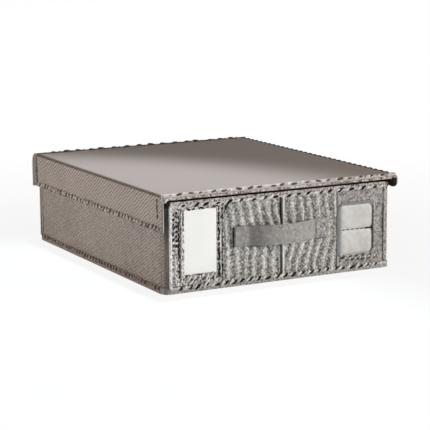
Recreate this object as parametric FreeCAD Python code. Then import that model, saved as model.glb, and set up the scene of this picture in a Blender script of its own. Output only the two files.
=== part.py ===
"""Cloth-covered file box: an open-fronted case, a lift-off lid with skirts on three sides, and one pull-out drawer.

Millimetres, +Z up, the drawer's front faces -Y. The origin lies on the plane that the case stands on, below the
middle of the lid. Every wall is a laminate: outer cloth, stiff board, inner lining.
"""
import FreeCAD, Part
import math
import os

from FreeCAD import Vector

# ---------------------------------------------------------------- driving dimensions: lid
lid_width = 336.0           # outside of the side skirts, along X
lid_depth = 400.0           # front cord to back skirt, along Y
lid_surface = 124.0         # the lid's top cloth above the ground
lid_cloth = 0.8
lid_top_board = 2.4
skirt_board = 1.6
skirt_drop = 45.5           # top cloth down to the skirts' lower edge
lip_drop = 6.8              # top cloth down to the front lip's lower edge
cord_radius = 2.3           # twisted cord along the lid's front and back edges
arch_depth = 3.0            # binding round the lid's front opening, along Y
arch_corner = 6.0           # inside corners of that opening
hem_height = 6.0            # binding along the skirts' lower edges
hem_proud = 0.5
tab_reach = 7.0             # bound seam that stands out at each back corner
tab_thickness = 2.4
tongue_drop = 16.5          # right skirt left above the finger notch, top cloth down
tongue_corner = 8.0
notch_length = 30.0         # finger notch at the right skirt's front end, along Y
notch_corner = 6.0

# ---------------------------------------------------------------- driving dimensions: case
case_cloth = 1.0
case_board = 2.4
lining = 0.6                # inner lining of case, lid and drawer
binding_cloth = 0.6         # every flat binding strip
skirt_gap = 1.0             # air between the skirts and the case
seat_gap = 0.3              # lid lining to the case's rim
bottom_binding_height = 8.0
bottom_binding_lift = 0.4   # that strip clear of the ground
corner_binding_width = 6.0
corner_roll_radius = 2.2    # rolled edge of the corner binding, below the skirts
corner_roll_gap = 2.5       # top of that roll to the skirts' lower edge
rail_height = 10.0          # cross rail over the drawer's opening
rail_board = 2.4

# ---------------------------------------------------------------- driving dimensions: drawer
front_setback = 6.3         # drawer front behind the lid's front edge
front_thickness = 8.3
front_cloth = 1.0
front_corner = 8.0          # upright corners of the drawer front
least_flat = 0.3            # straight left at the side of such a corner
side_inset = 0.5            # end of the drawer front inside the case's outer face
mouth_gap = 0.4             # drawer front to the case's mouth
ground_gap = 0.8            # drawer front above the ground
lip_gap = 3.0               # drawer front below the lid's lip
fold_gap = 1.6              # between the two front boards, at the centre fold
drawer_cloth = 0.8
drawer_board = 2.0
drawer_side_gap = 1.4
drawer_floor_gap = 0.3
drawer_back_gap = 4.0
headroom = 1.2              # drawer walls below the cross rail

# ---------------------------------------------------------------- driving dimensions: on the drawer front
front_foot_binding_height = 7.6   # bindings over the front's bottom and top edges
front_head_binding_height = 6.8
front_binding_proud = 1.2
end_section = 81.5          # end of the drawer front to the gathered panel
ribs_per_half = 6
rib_base = 0.9              # cloth under the ribs
rib_swell = 0.9             # height of each rib
section_piping_width = 1.2  # upright piping beside the gathered panel
edge_piping_width = 1.6     # upright piping near each end of the drawer front
edge_piping_inset = 9.0
pocket_inset = 26.8         # left end of the drawer front to the label card
pocket_border = 4.2
pocket_thickness = 1.0
pocket_corner = 2.0
card_width = 45.0
card_foot = 14.6            # bottom binding up to the card
card_head = 5.2             # card up to the top binding
card_thickness = 0.4
sleeve_thickness = 0.3
window_inset = 26.5         # right end of the drawer front to the window
window_width = 49.0
window_foot = 15.1          # bottom binding up to the window
window_head = 19.4          # window up to the top binding
window_corner = 5.0
window_border = 4.0
window_frame_thickness = 1.1
pane_thickness = 0.6
pane_lap = 3.0              # pane behind the cloth on every side
pane_swell = 0.8            # each half of the pane stands forward by this
pane_seam = 1.6             # flat seam across and round the pane's two halves
webbing_width = 25.0
webbing_thickness = 1.5
handle_length = 136.0       # over both end tabs
handle_rise = 5.4           # handle's centre line above the middle of the front
handle_bow = 12.0           # handle's middle in front of its sewn ends
handle_bend = 12.0          # radius where the handle leaves its sewn ends
end_tab_length = 19.0
end_tab_thickness = 1.2

# ---------------------------------------------------------------- derived places
lid_x = lid_width / 2
lid_y = lid_depth / 2
skirt_wall = lid_cloth + skirt_board + lining
skirt_bottom = lid_surface - skirt_drop
panel_bottom = lid_surface - lid_cloth - lid_top_board
lid_underside = panel_bottom - lining
lip_bottom = lid_surface - lip_drop
arch_back = -lid_y + arch_depth
hem_top = skirt_bottom + hem_height

case_x = lid_x - skirt_wall - skirt_gap
case_back = lid_y - skirt_wall - skirt_gap
case_top = lid_underside - seat_gap
case_rim = case_top - binding_cloth
case_wall = case_cloth + case_board + lining
inner_x = case_x - case_wall

front_face = -lid_y + front_setback
front_rear = front_face + front_thickness
front_x = case_x - side_inset
front_top = lip_bottom - lip_gap
case_mouth = front_rear + mouth_gap
wall_front = case_mouth + binding_cloth

rail_bottom = case_top - rail_height
drawer_x = inner_x - drawer_side_gap
drawer_floor = case_wall + drawer_floor_gap
drawer_top = rail_bottom - headroom
drawer_rim = drawer_top - binding_cloth
drawer_back = case_back - case_wall - drawer_back_gap
drawer_wall = drawer_cloth + drawer_board + lining

field_bottom = ground_gap + front_foot_binding_height
field_top = front_top - front_head_binding_height
gather_x = front_x - end_section
rib_peak = front_face - rib_base - rib_swell

parts = {}


# ---------------------------------------------------------------- helpers
def block(x, y, z):
    """A box between two places along each axis."""
    low = Vector(min(x), min(y), min(z))
    high = Vector(max(x), max(y), max(z))
    size = high - low
    return Part.makeBox(size.x, size.y, size.z, low)


def grown(pair, amount):
    """A (low, high) pair moved outwards at both ends."""
    return (min(pair) - amount, max(pair) + amount)


def mirrored(shape):
    """The same piece on the other side of the box."""
    return shape.mirror(Vector(0, 0, 0), Vector(1, 0, 0))


def rounded(shape, axis, radius, keep=lambda middle: True):
    """Rounds the straight edges along an axis whose middle passes keep."""
    edges = []
    for edge in shape.Edges:
        run = edge.Vertexes[-1].Point - edge.Vertexes[0].Point
        along = run.Length > 0 and abs(run.dot(axis)) > 0.999 * run.Length
        if along and keep(edge.CenterOfMass):
            edges.append(edge)
    return shape.makeFillet(radius, edges)


def extruded(edges, direction):
    """A solid from edges that make one closed outline."""
    wire = Part.Wire(Part.__sortEdges__([edge.toShape() for edge in edges]))
    return Part.Face(wire).extrude(direction)


def raised(edges, z):
    """A solid from an outline drawn at height zero, between two heights."""
    solid = extruded(edges, Vector(0, 0, z[1] - z[0]))
    solid.translate(Vector(0, 0, z[0]))
    return solid


def tray_layer(x, front, back, bottom, top, thickness):
    """Left, right, back and floor sheets of an open tray, with their outer faces at the given places."""
    left = block((-x, -x + thickness), (front, back), (bottom, top))
    rear = block((-x + thickness, x - thickness), (back - thickness, back), (bottom, top))
    floor = block((-x + thickness, x - thickness), (front, back - thickness), (bottom, bottom + thickness))
    return left, mirrored(left), rear, floor


# ---------------------------------------------------------------- case
def build_case_walls():
    """Floor and three walls: cloth, board and lining."""
    offset = 0.0
    for layer, thickness in (("cover", case_cloth), ("board", case_board), ("lining", lining)):
        sheets = tray_layer(case_x - offset, wall_front, case_back - offset, offset, case_rim, thickness)
        if layer == "lining":
            parts["case_lining"] = sheets[0].fuse(list(sheets[1:])).removeSplitter()
        else:
            for side, sheet in zip(("left", "right", "back", "bottom"), sheets):
                parts["case_" + side + "_" + layer] = sheet
        offset += thickness


def build_case_bindings():
    """Strips over the walls' top and front edges, round the foot and up the back corners."""
    around = block((-case_x, case_x), (wall_front, case_back), (case_rim, case_top))
    within = block((-inner_x, inner_x), (wall_front, case_back - case_wall), (case_rim, case_top))
    parts["case_rim_binding"] = around.cut(within)

    depth = (case_mouth, wall_front)
    around = block((-case_x, case_x), depth, (bottom_binding_lift, case_top))
    within = block((-inner_x, inner_x), depth, (case_wall, case_top))
    parts["case_mouth_binding"] = around.cut(within)

    height = (bottom_binding_lift, bottom_binding_height)
    around = block(grown((-case_x, case_x), binding_cloth), (case_mouth, case_back + binding_cloth), height)
    within = block((-case_x, case_x), (case_mouth, case_back), height)
    parts["case_bottom_binding"] = around.cut(within)

    left = corner_binding()
    parts["case_corner_binding_left"] = left
    parts["case_corner_binding_right"] = mirrored(left)


def corner_binding():
    """Strip folded round the back left corner, with a rolled edge that ends below the lid's skirts."""
    height = (bottom_binding_height, case_top)
    side = block((-case_x - binding_cloth, -case_x), (case_back - corner_binding_width, case_back), height)
    rear = block(
        (-case_x - binding_cloth, -case_x + corner_binding_width),
        (case_back, case_back + binding_cloth),
        height,
    )
    roll_height = skirt_bottom - corner_roll_gap - bottom_binding_height
    roll_foot = Vector(-case_x, case_back, bottom_binding_height)
    roll = Part.makeCylinder(corner_roll_radius, roll_height, roll_foot)
    reach = corner_binding_width + corner_roll_radius
    case_corner = block((-case_x, -case_x + reach), (case_back - reach, case_back), height)
    return side.fuse([rear, roll]).cut(case_corner).removeSplitter()


def build_cross_rail():
    """Stiff rail that ties the two side walls together over the drawer's opening."""
    depth = (wall_front, wall_front + rail_board)
    board = block((-inner_x, inner_x), depth, (rail_bottom + drawer_cloth, case_top))
    wrap_depth = (case_mouth, depth[1] + drawer_cloth)
    wrap = block((-inner_x, inner_x), wrap_depth, (rail_bottom, case_top))
    parts["front_rail_board"] = board
    parts["front_rail_cover"] = wrap.cut(board)


# ---------------------------------------------------------------- lid
def build_lid_top():
    """Stiffened top panel between two twisted cords and two side pipings."""
    cord_y = lid_y - cord_radius
    panel_y = lid_y - 2 * cord_radius
    piping_radius = (lid_surface - panel_bottom) / 2
    panel_x = lid_x - 2 * piping_radius
    board_top = lid_surface - lid_cloth
    parts["lid_top_cover"] = block((-panel_x, panel_x), (-panel_y, panel_y), (board_top, lid_surface))
    parts["lid_top_board"] = block((-panel_x, panel_x), (-panel_y, panel_y), (panel_bottom, board_top))
    for name, y in (("lid_front_cord", -cord_y), ("lid_back_cord", cord_y)):
        start = Vector(-lid_x, y, panel_bottom + cord_radius)
        parts[name] = Part.makeCylinder(cord_radius, lid_width, start, Vector(1, 0, 0))
    start = Vector(-lid_x + piping_radius, -panel_y, panel_bottom + piping_radius)
    left = Part.makeCylinder(piping_radius, 2 * panel_y, start, Vector(0, 1, 0))
    parts["lid_left_piping"] = left
    parts["lid_right_piping"] = mirrored(left)


def build_skirts():
    """Left, right and back skirts: cloth and board, with one lining that also covers the lid's underside."""
    fold_top = skirt_bottom + binding_cloth
    offset = 0.0
    for layer, thickness in (("cover", lid_cloth), ("board", skirt_board), ("lining", lining)):
        top = panel_bottom if layer != "lining" else lid_underside
        height = (fold_top, top)
        x = lid_x - offset
        y = lid_y - offset
        left = block((-x, -x + thickness), (arch_back, y), height)
        rear = block((-x + thickness, x - thickness), (y - thickness, y), height)
        right = mirrored(left).cut(notch(binding_cloth))
        if layer == "lining":
            ceiling = block((-x, x), (arch_back, y), (lid_underside, panel_bottom))
            parts["lid_lining"] = ceiling.fuse([left, right, rear]).removeSplitter()
        else:
            parts["lid_left_" + layer] = left
            parts["lid_right_" + layer] = right
            parts["lid_back_" + layer] = rear
        offset += thickness


def build_hems():
    """Bindings folded under the skirts' lower edges, and the binding round the finger notch."""
    fold = (skirt_bottom, skirt_bottom + binding_cloth)
    strip = (skirt_bottom, hem_top)
    face = block((-lid_x - hem_proud, -lid_x), (arch_back, lid_y + hem_proud), strip)
    under = block((-lid_x, -lid_x + skirt_wall), (arch_back, lid_y), fold)
    left = face.fuse(under).removeSplitter()
    parts["lid_left_hem"] = left
    parts["lid_right_hem"] = mirrored(left).cut(notch(0)).removeSplitter()
    face = block((-lid_x, lid_x), (lid_y, lid_y + hem_proud), strip)
    inner = lid_x - skirt_wall
    under = block((-inner, inner), (lid_y - skirt_wall, lid_y), fold)
    parts["lid_back_hem"] = face.fuse(under).removeSplitter()

    wall = block((lid_x - skirt_wall, lid_x), (-lid_y, lid_y), (fold[1], panel_bottom))
    parts["lid_notch_binding"] = wall.common(notch(binding_cloth)).cut(notch(0))


def notch(grow):
    """Space for fingers under the right skirt's front end, grown outwards; a rounded tongue stays above it."""
    front = -lid_y - arch_depth
    low = skirt_bottom - hem_height
    high = lid_surface - tongue_drop + grow
    rear = -lid_y + notch_length + grow
    inner = notch_corner + grow
    outer = tongue_corner - grow
    centre_y = -lid_y + tongue_corner
    centre_z = high + outer
    half = math.sqrt(0.5)
    x = lid_x - 2 * skirt_wall

    def at(y, z):
        return Vector(x, y, z)

    outline = [
        Part.LineSegment(at(front, low), at(rear, low)),
        Part.LineSegment(at(rear, low), at(rear, high - inner)),
        Part.Arc(
            at(rear, high - inner),
            at(rear - inner * (1 - half), high - inner * (1 - half)),
            at(rear - inner, high),
        ),
        Part.LineSegment(at(rear - inner, high), at(centre_y, high)),
        Part.Arc(
            at(centre_y, high),
            at(centre_y - outer * half, centre_z - outer * half),
            at(centre_y - outer, centre_z),
        ),
        Part.LineSegment(at(centre_y - outer, centre_z), at(front, centre_z)),
        Part.LineSegment(at(front, centre_z), at(front, low)),
    ]
    return extruded(outline, Vector(4 * skirt_wall, 0, 0))


def build_front_arch():
    """Binding round the lid's front opening: the lip under the front cord and a leg down each side skirt."""
    depth = (-lid_y, arch_back)
    around = block((-lid_x, lid_x), depth, (skirt_bottom, panel_bottom))
    opening = block(grown((-lid_x, lid_x), -skirt_wall), depth, (skirt_bottom - arch_corner, lip_bottom))
    opening = rounded(opening, Vector(0, 1, 0), arch_corner, lambda middle: middle.z > skirt_bottom)
    parts["lid_front_arch"] = around.cut([opening, notch(binding_cloth)])


def build_corner_tabs():
    """Bound seams that stand out diagonally from the lid's back corners, rounded at the top."""
    half = tab_thickness / 2
    tab = block((0, tab_reach + hem_proud), (-half, half), (skirt_bottom, panel_bottom))
    tab = rounded(
        tab, Vector(0, 1, 0), tab_reach / 2, lambda middle: middle.x > 0 and middle.z > skirt_bottom
    )
    tab.rotate(Vector(0, 0, 0), Vector(0, 0, 1), 135)
    tab.translate(Vector(-lid_x, lid_y, 0))
    body = block((-lid_x, lid_x), (-lid_y, lid_y), (skirt_bottom, panel_bottom))
    hems = block(grown((-lid_x, lid_x), hem_proud), grown((-lid_y, lid_y), hem_proud), (skirt_bottom, hem_top))
    left = tab.cut([body, hems])
    parts["lid_left_corner_tab"] = left
    parts["lid_right_corner_tab"] = mirrored(left)


# ---------------------------------------------------------------- drawer
def build_drawer_tray():
    """The tray behind the drawer's front: cloth, board and lining on the floor and three walls."""
    offset = 0.0
    for layer, thickness in (("cover", drawer_cloth), ("board", drawer_board), ("lining", lining)):
        sheets = tray_layer(
            drawer_x - offset, front_rear, drawer_back - offset, drawer_floor + offset, drawer_rim, thickness
        )
        if layer == "board":
            for side, sheet in zip(("left", "right", "back", "bottom"), sheets):
                parts["drawer_" + side + "_board"] = sheet
        else:
            parts["drawer_" + layer] = sheets[0].fuse(list(sheets[1:])).removeSplitter()
        offset += thickness
    inside = drawer_x - drawer_wall
    around = block((-drawer_x, drawer_x), (front_rear, drawer_back), (drawer_rim, drawer_top))
    within = block((-inside, inside), (front_rear, drawer_back - drawer_wall), (drawer_rim, drawer_top))
    parts["drawer_rim_binding"] = around.cut(within)


def front_solid(inset, z):
    """The drawer front's outline moved inwards by inset and raised between two heights; its back stays."""
    x = front_x - inset
    y = front_face + inset
    radius = min(front_corner, front_thickness - least_flat) - inset
    bend = radius * (1 - math.sqrt(0.5))
    outline = [
        Part.LineSegment(Vector(-x, front_rear, 0), Vector(-x, y + radius, 0)),
        Part.Arc(Vector(-x, y + radius, 0), Vector(-x + bend, y + bend, 0), Vector(-x + radius, y, 0)),
        Part.LineSegment(Vector(-x + radius, y, 0), Vector(x - radius, y, 0)),
        Part.Arc(Vector(x - radius, y, 0), Vector(x - bend, y + bend, 0), Vector(x, y + radius, 0)),
        Part.LineSegment(Vector(x, y + radius, 0), Vector(x, front_rear, 0)),
        Part.LineSegment(Vector(x, front_rear, 0), Vector(-x, front_rear, 0)),
    ]
    return raised(outline, z)


def window_block(grow, y):
    """The window's rounded opening, grown on every side."""
    right = front_x - window_inset
    width = grown((right - window_width, right), grow)
    height = grown((field_bottom + window_foot, field_top - window_head), grow)
    return rounded(block(width, y, height), Vector(0, 1, 0), window_corner + grow)


def build_drawer_front():
    """Overlay front: two boards with a fold between them, faced and lined with cloth."""
    height = (ground_gap + front_binding_proud, front_top - front_binding_proud)
    through = (front_face, front_rear)
    core = front_solid(front_cloth, height)
    back_cloth = block((-front_x, front_x), (front_rear - front_cloth, front_rear), height)
    half = block((fold_gap / 2, front_x), through, height)
    board = core.common(half).cut(back_cloth)
    opening = window_block(0, through)
    parts["drawer_front_board_left"] = mirrored(board)
    parts["drawer_front_board_right"] = board.cut(window_block(pane_lap, through))
    parts["drawer_front_lining"] = core.common(back_cloth).cut(opening)
    parts["drawer_front_cover"] = front_solid(0, height).cut([core, opening])


def build_front_bindings():
    """Bindings folded over the drawer front's top and bottom edges; only the bottom one wraps the ends."""
    height = (ground_gap + front_binding_proud, front_top - front_binding_proud)
    band = front_solid(-front_binding_proud, (ground_gap, front_top)).cut(front_solid(0, height))
    depth = (front_face - front_binding_proud, front_rear)
    wide = grown((-front_x, front_x), front_binding_proud)
    parts["front_bottom_binding"] = band.common(block(wide, depth, (ground_gap, field_bottom)))
    parts["front_top_binding"] = band.common(block((-front_x, front_x), depth, (field_top, front_top)))


def upright_piping(x, width):
    """A piping from the bottom binding to the top one, rounded towards the front."""
    bar = block((x - width / 2, x + width / 2), (rib_peak, front_face), (field_bottom, field_top))
    return rounded(bar, Vector(0, 0, 1), width * 0.45, lambda middle: middle.y < front_face - rib_base)


def build_gathered_panel():
    """Cloth gathered into upright ribs either side of the centre fold, with pipings at its edges."""
    valley = front_face - rib_base
    start = fold_gap / 2
    pitch = (gather_x - start) / ribs_per_half
    outline = [
        Part.LineSegment(Vector(gather_x, valley, 0), Vector(gather_x, front_face, 0)),
        Part.LineSegment(Vector(gather_x, front_face, 0), Vector(start, front_face, 0)),
        Part.LineSegment(Vector(start, front_face, 0), Vector(start, valley, 0)),
    ]
    for rib in range(ribs_per_half):
        x = start + rib * pitch
        crest = Vector(x + pitch / 2, rib_peak, 0)
        outline.append(Part.Arc(Vector(x, valley, 0), crest, Vector(x + pitch, valley, 0)))
    half = raised(outline, (field_bottom, field_top))
    parts["front_gathered_panel"] = Part.makeCompound([half, mirrored(half)])
    parts["front_fold_seam"] = upright_piping(0, fold_gap)
    section = upright_piping(gather_x + section_piping_width / 2, section_piping_width)
    parts["section_piping"] = Part.makeCompound([section, mirrored(section)])
    edge = upright_piping(front_x - edge_piping_inset, edge_piping_width)
    parts["front_edge_piping"] = Part.makeCompound([edge, mirrored(edge)])


def build_label():
    """Card in a clear sleeve, held by a sewn border on all four sides."""
    left = -front_x + pocket_inset
    width = (left, left + card_width)
    height = (field_bottom + card_foot, field_top - card_head)
    card_front = front_face - card_thickness
    border_depth = (front_face - pocket_thickness, front_face)
    parts["label_card"] = block(width, (card_front, front_face), height)
    parts["label_sleeve"] = block(width, (card_front - sleeve_thickness, card_front), height)
    border = block(grown(width, pocket_border), border_depth, grown(height, pocket_border))
    border = rounded(border, Vector(0, 1, 0), pocket_corner)
    parts["label_pocket_border"] = border.cut(block(width, border_depth, height))


def build_window():
    """Sewn border on the cloth and a flexible pane behind it, with two swelled halves."""
    depth = (front_face - window_frame_thickness, front_face)
    parts["window_frame"] = window_block(window_border, depth).cut(window_block(0, depth))
    pane_front = front_face + front_cloth
    sheet = window_block(pane_lap, (pane_front, pane_front + pane_thickness))
    opening = window_block(-pane_seam / 2, (pane_front - pane_swell, pane_front))
    box = opening.BoundBox
    middle = (box.ZMin + box.ZMax) / 2
    halves = []
    for height in ((box.ZMin, middle - pane_seam / 2), (middle + pane_seam / 2, box.ZMax)):
        half = block((box.XMin, box.XMax), (box.YMin, box.YMax), height)
        halves.append(rounded(half, Vector(0, 1, 0), window_corner))
    parts["window_pane"] = sheet.fuse(halves).removeSplitter()


# ---------------------------------------------------------------- handle
def bowed_strip(half_span, bow, bend, end, thickness):
    """Edges of a strip seen from above: flat ends, then a shallow arch that stands out by bow.

    The arch leaves each end along a bend of the given radius, so every stretch runs on without a kink.
    """
    angle = 2 * math.atan2(bow, half_span)
    arch = half_span / math.sin(angle) - bend
    arch_centre = Vector(0, arch - bow, 0)
    bend_centre = Vector(half_span, -bend, 0)

    def on_arch(turn, radius):
        return arch_centre + Vector(radius * math.sin(turn), -radius * math.cos(turn), 0)

    def on_bend(turn, radius):
        return bend_centre + Vector(-radius * math.sin(turn), radius * math.cos(turn), 0)

    edges = []
    for side in (-thickness / 2, thickness / 2):
        outer = arch - side
        inner = bend + side
        crown = Part.Arc(on_arch(-angle, outer), on_arch(0, outer), on_arch(angle, outer))
        bend_arc = Part.Arc(on_bend(angle, inner), on_bend(angle / 2, inner), on_bend(0, inner))
        flat = Part.LineSegment(on_bend(0, inner), on_bend(0, inner) + Vector(end, 0, 0))
        edges += [crown.toShape()]
        for piece in (bend_arc.toShape(), flat.toShape()):
            edges += [piece, mirrored(piece)]
    tip = half_span + end
    for x in (-tip, tip):
        edges.append(Part.makeLine(Vector(x, -thickness / 2, 0), Vector(x, thickness / 2, 0)))
    return edges


def build_handle():
    """Webbing handle bowed out from the drawer front, its ends sewn down under two short tabs."""
    middle = (field_bottom + field_top) / 2 + handle_rise
    height = (middle - webbing_width / 2, middle + webbing_width / 2)
    half_length = handle_length / 2
    half_span = half_length - end_tab_length
    edges = bowed_strip(half_span, handle_bow, handle_bend, end_tab_length, webbing_thickness)
    wire = Part.Wire(Part.__sortEdges__(edges))
    strap = Part.Face(wire).extrude(Vector(0, 0, webbing_width))
    strap.translate(Vector(0, rib_peak - webbing_thickness / 2, height[0]))
    parts["handle_strap"] = strap
    strap_front = rib_peak - webbing_thickness
    tab = block((half_span, half_length), (strap_front - end_tab_thickness, strap_front), height)
    parts["handle_end_tabs"] = Part.makeCompound([tab, mirrored(tab)])


build_case_walls()
build_case_bindings()
build_cross_rail()
build_lid_top()
build_skirts()
build_hems()
build_front_arch()
build_corner_tabs()
build_drawer_tray()
build_drawer_front()
build_front_bindings()
build_gathered_panel()
build_label()
build_window()
build_handle()

os.makedirs("parts", exist_ok=True)
for name, shape in parts.items():
    shape.exportStep("parts/" + name + ".step")
print(len(parts), "nodes written")
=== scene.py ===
# %% [markdown]
# # A cloth-covered file box with a drawer
# The box is made as a bookbinder makes one: stiff boards wrapped in cloth, taped along every edge, with a
# lift-off lid and one drawer. The solids in the frame have the right sizes and places already. What they
# lack is everything that a needle and a loom would give them, so this lesson makes the cloth, cords, tapes
# and webbing one after another, and lets the boards inside stay as they are.

# %% Load the frame and read each solid's box
import bmesh
import bpy
import math
import random
from mathutils import Matrix, Vector, noise


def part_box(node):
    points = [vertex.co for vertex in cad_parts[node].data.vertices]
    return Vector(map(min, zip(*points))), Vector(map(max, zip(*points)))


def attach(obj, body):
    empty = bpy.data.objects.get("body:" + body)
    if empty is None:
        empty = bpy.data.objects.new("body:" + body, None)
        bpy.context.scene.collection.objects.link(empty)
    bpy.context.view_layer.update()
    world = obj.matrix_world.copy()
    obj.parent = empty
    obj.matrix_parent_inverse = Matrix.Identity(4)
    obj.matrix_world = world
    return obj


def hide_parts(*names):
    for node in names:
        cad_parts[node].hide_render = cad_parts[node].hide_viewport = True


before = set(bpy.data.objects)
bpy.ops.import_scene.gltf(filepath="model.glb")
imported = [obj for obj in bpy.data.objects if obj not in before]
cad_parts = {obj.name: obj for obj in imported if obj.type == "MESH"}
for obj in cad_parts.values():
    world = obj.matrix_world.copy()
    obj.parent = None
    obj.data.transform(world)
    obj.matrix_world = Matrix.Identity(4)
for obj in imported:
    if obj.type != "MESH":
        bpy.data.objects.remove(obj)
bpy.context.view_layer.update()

MM = 0.001
print("solids:", len(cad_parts))

# %% [markdown]
# ## Camera
# A long lens from a little above, looking at the front and the left side. It could be aimed with a
# constraint, but three plain turns, a yaw, a pitch and a very small roll, are easier to read and to change.

# %% Place the camera
camera = bpy.data.objects.new("studio_camera", bpy.data.cameras.new("studio_camera"))
bpy.context.collection.objects.link(camera)
camera.data.sensor_width = 36
camera.data.lens = 132.19
camera.data.clip_end = 30
camera.matrix_world = (
    Matrix.Translation((-0.98866, -1.86356, 0.44982))
    @ Matrix.Rotation(math.radians(-28.19), 4, "Z")
    @ Matrix.Rotation(math.radians(90 - 10.66), 4, "X")
    @ Matrix.Rotation(math.radians(-0.33), 4, "Z")
)
bpy.context.scene.camera = camera
bpy.context.scene.view_settings.view_transform = "Standard"
print("camera height", round(camera.location.z, 3), "m")

# %% [markdown]
# ## Node helpers
# Every finish below is a small tree of nodes. A few helpers keep them short: they add a node, fill or link
# its inputs by name, do one step of arithmetic, or go from one number or colour to another.

# %% Node helpers
def put(socket, value):
    """Links an output to an input, or types a value into it."""
    if isinstance(value, bpy.types.NodeSocket):
        socket.id_data.links.new(value, socket)
    else:
        socket.default_value = value


def fill(made, **inputs):
    """Fills or links a node's inputs by name, with _ for each blank."""
    for key, value in inputs.items():
        put(made.inputs[key.replace("_", " ")], value)


def node(tree, kind, settings=None, **inputs):
    """Adds a shader node with its settings and inputs."""
    made = tree.nodes.new("ShaderNode" + kind)
    for key, value in (settings or {}).items():
        setattr(made, key, value)
    fill(made, **inputs)
    return made


def sum_of(tree, operation, *values):
    """One step of arithmetic on numbers or outputs."""
    made = tree.nodes.new("ShaderNodeMath")
    made.operation = operation
    for socket, value in zip(made.inputs, values):
        put(socket, value)
    return made.outputs[0]


def choose(tree, share, first, second):
    """A number between two, by share."""
    made = tree.nodes.new("ShaderNodeMix")
    for place, value in zip((0, 2, 3), (share, first, second)):
        put(made.inputs[place], value)
    return made.outputs[0]


def dye(tree, share, first, second):
    """A colour between two, by share."""
    made = tree.nodes.new("ShaderNodeMix")
    made.data_type = "RGBA"
    for place, value in zip((0, 6, 7), (share, first, second)):
        put(made.inputs[place], value)
    return made.outputs[2]


def shader(name):
    """A new material, its tree and its Principled shader."""
    made = bpy.data.materials.new(name)
    made.use_nodes = True
    tree = made.node_tree
    tree.nodes.clear()
    surface = node(tree, "BsdfPrincipled")
    node(tree, "OutputMaterial", Surface=surface.outputs[0])
    return made, tree, surface


# %% [markdown]
# ## Studio
# The box stands on a plain pale floor under a pale sky. The floor is a real surface, so it catches the
# box's shadow and throws light back up on its sides. For the camera's own rays it also glows, which makes
# it read as white paper without any more light on the box. Near the box the glow leaves room for the
# shadow; further out it takes over, so the floor runs into the white sky with no edge.

# %% Floor and sky
bpy.ops.object.select_all(action="DESELECT")
bpy.ops.mesh.primitive_plane_add(size=12)
floor = bpy.context.object
floor.name = "studio_floor"
paper, tree, surface = shader("studio_paper")
fill(surface, Base_Color=(0.82, 0.82, 0.82, 1), Roughness=0.95, Specular_IOR_Level=0.1)
ray = node(tree, "LightPath")
spot = node(tree, "TexCoord").outputs["Object"]
far = node(tree, "VectorMath", {"operation": "LENGTH"})
put(far.inputs[0], spot)
glowing = node(tree, "MapRange", Value=far.outputs["Value"], From_Min=0.25, From_Max=0.95,
               To_Min=0.88, To_Max=1.0)
seen = sum_of(tree, "MULTIPLY", ray.outputs["Is Camera Ray"], glowing.outputs[0])
glow = node(tree, "Emission", Color=(1, 1, 1, 1), Strength=1.0)
lit = node(tree, "MixShader")
put(lit.inputs[0], seen)
put(lit.inputs[1], surface.outputs[0])
put(lit.inputs[2], glow.outputs[0])
fill(tree.nodes["Material Output"], Surface=lit.outputs[0])
floor.data.materials.append(paper)

sky = bpy.data.worlds.new("studio_sky")
bpy.context.scene.world = sky
sky.use_nodes = True
tree = sky.node_tree
tree.nodes.clear()
ray = node(tree, "LightPath")
white = sum_of(tree, "MAXIMUM", ray.outputs["Is Camera Ray"], ray.outputs["Is Transmission Ray"])
strength = choose(tree, white, 0.16, 1.0)
tone = dye(tree, white, (1.0, 0.93, 0.85, 1), (1.0, 0.995, 0.99, 1))
air = node(tree, "Background", Color=tone, Strength=strength)
node(tree, "OutputWorld", Surface=air.outputs[0])
print("floor and sky made")

# %% [markdown]
# ## Lamps
# Three soft lamps do the work. A broad one in front and to the right lights the drawer front and shades the
# handle's left slope. A weaker one on the left, well behind the box, lights the side evenly. A spot hangs
# over the middle of the lid and points down past its front left corner. The soft rim of its cone falls
# across the lid in a slanted line, so the lid goes from light to dark and reads as a surface instead of a
# flat patch.

# %% Hang the lamps
def hang(name, kind, place, target, power, tint):
    """A lamp aimed at a point; gives back its settings."""
    lamp = bpy.data.lights.new(name, kind)
    lamp.energy = power
    lamp.color = tint
    hung = bpy.data.objects.new(name, lamp)
    bpy.context.collection.objects.link(hung)
    hung.location = place
    hung.rotation_euler = (Vector(target) - Vector(place)).to_track_quat("-Z", "Y").to_euler()
    hung.visible_camera = False
    return lamp


for name, place, target, size, power, tint in (
    ("front_lamp", (1.9, -1.8, 0.68), (0, -0.2, 0.05), 0.7, 59.5, (1.0, 0.987, 0.968)),
    ("side_lamp", (-2.0, 1.2, 0.45), (-0.17, 0, 0.06), 0.9, 27, (1.0, 0.945, 0.90)),
):
    lamp = hang(name, "AREA", place, target, power, tint)
    lamp.shape = "SQUARE"
    lamp.size = size
lamp = hang("top_lamp", "SPOT", (0.06, 0.06, 1.62), (-0.537, -0.326, 0.124), 124, (0.79, 0.89, 1.0))
lamp.spot_size = math.radians(49.2)
lamp.spot_blend = 0.38
lamp.shadow_soft_size = 0.05
print("lamps hung")

# %% [markdown]
# ## Cloth
# All the fabrics on the box are two yarns, a dark and a light one, that come to the top in different
# places. So one recipe makes them all: a number between 0 and 1 says which yarn shows, and it is the sum of
# a few patterns, each with its own strength. Twill gives slanted ridges, weave the fine over and under,
# fleck the uneven yarn, and mottle the slow drift of colour over a whole panel. The same patterns lift the
# surface for the bump. The patterns are laid in the plane of the cloth: a panel that faces sideways is
# patterned along Y and Z, one that faces up along X and Y, and one that faces front or back along X and Z.

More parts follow.
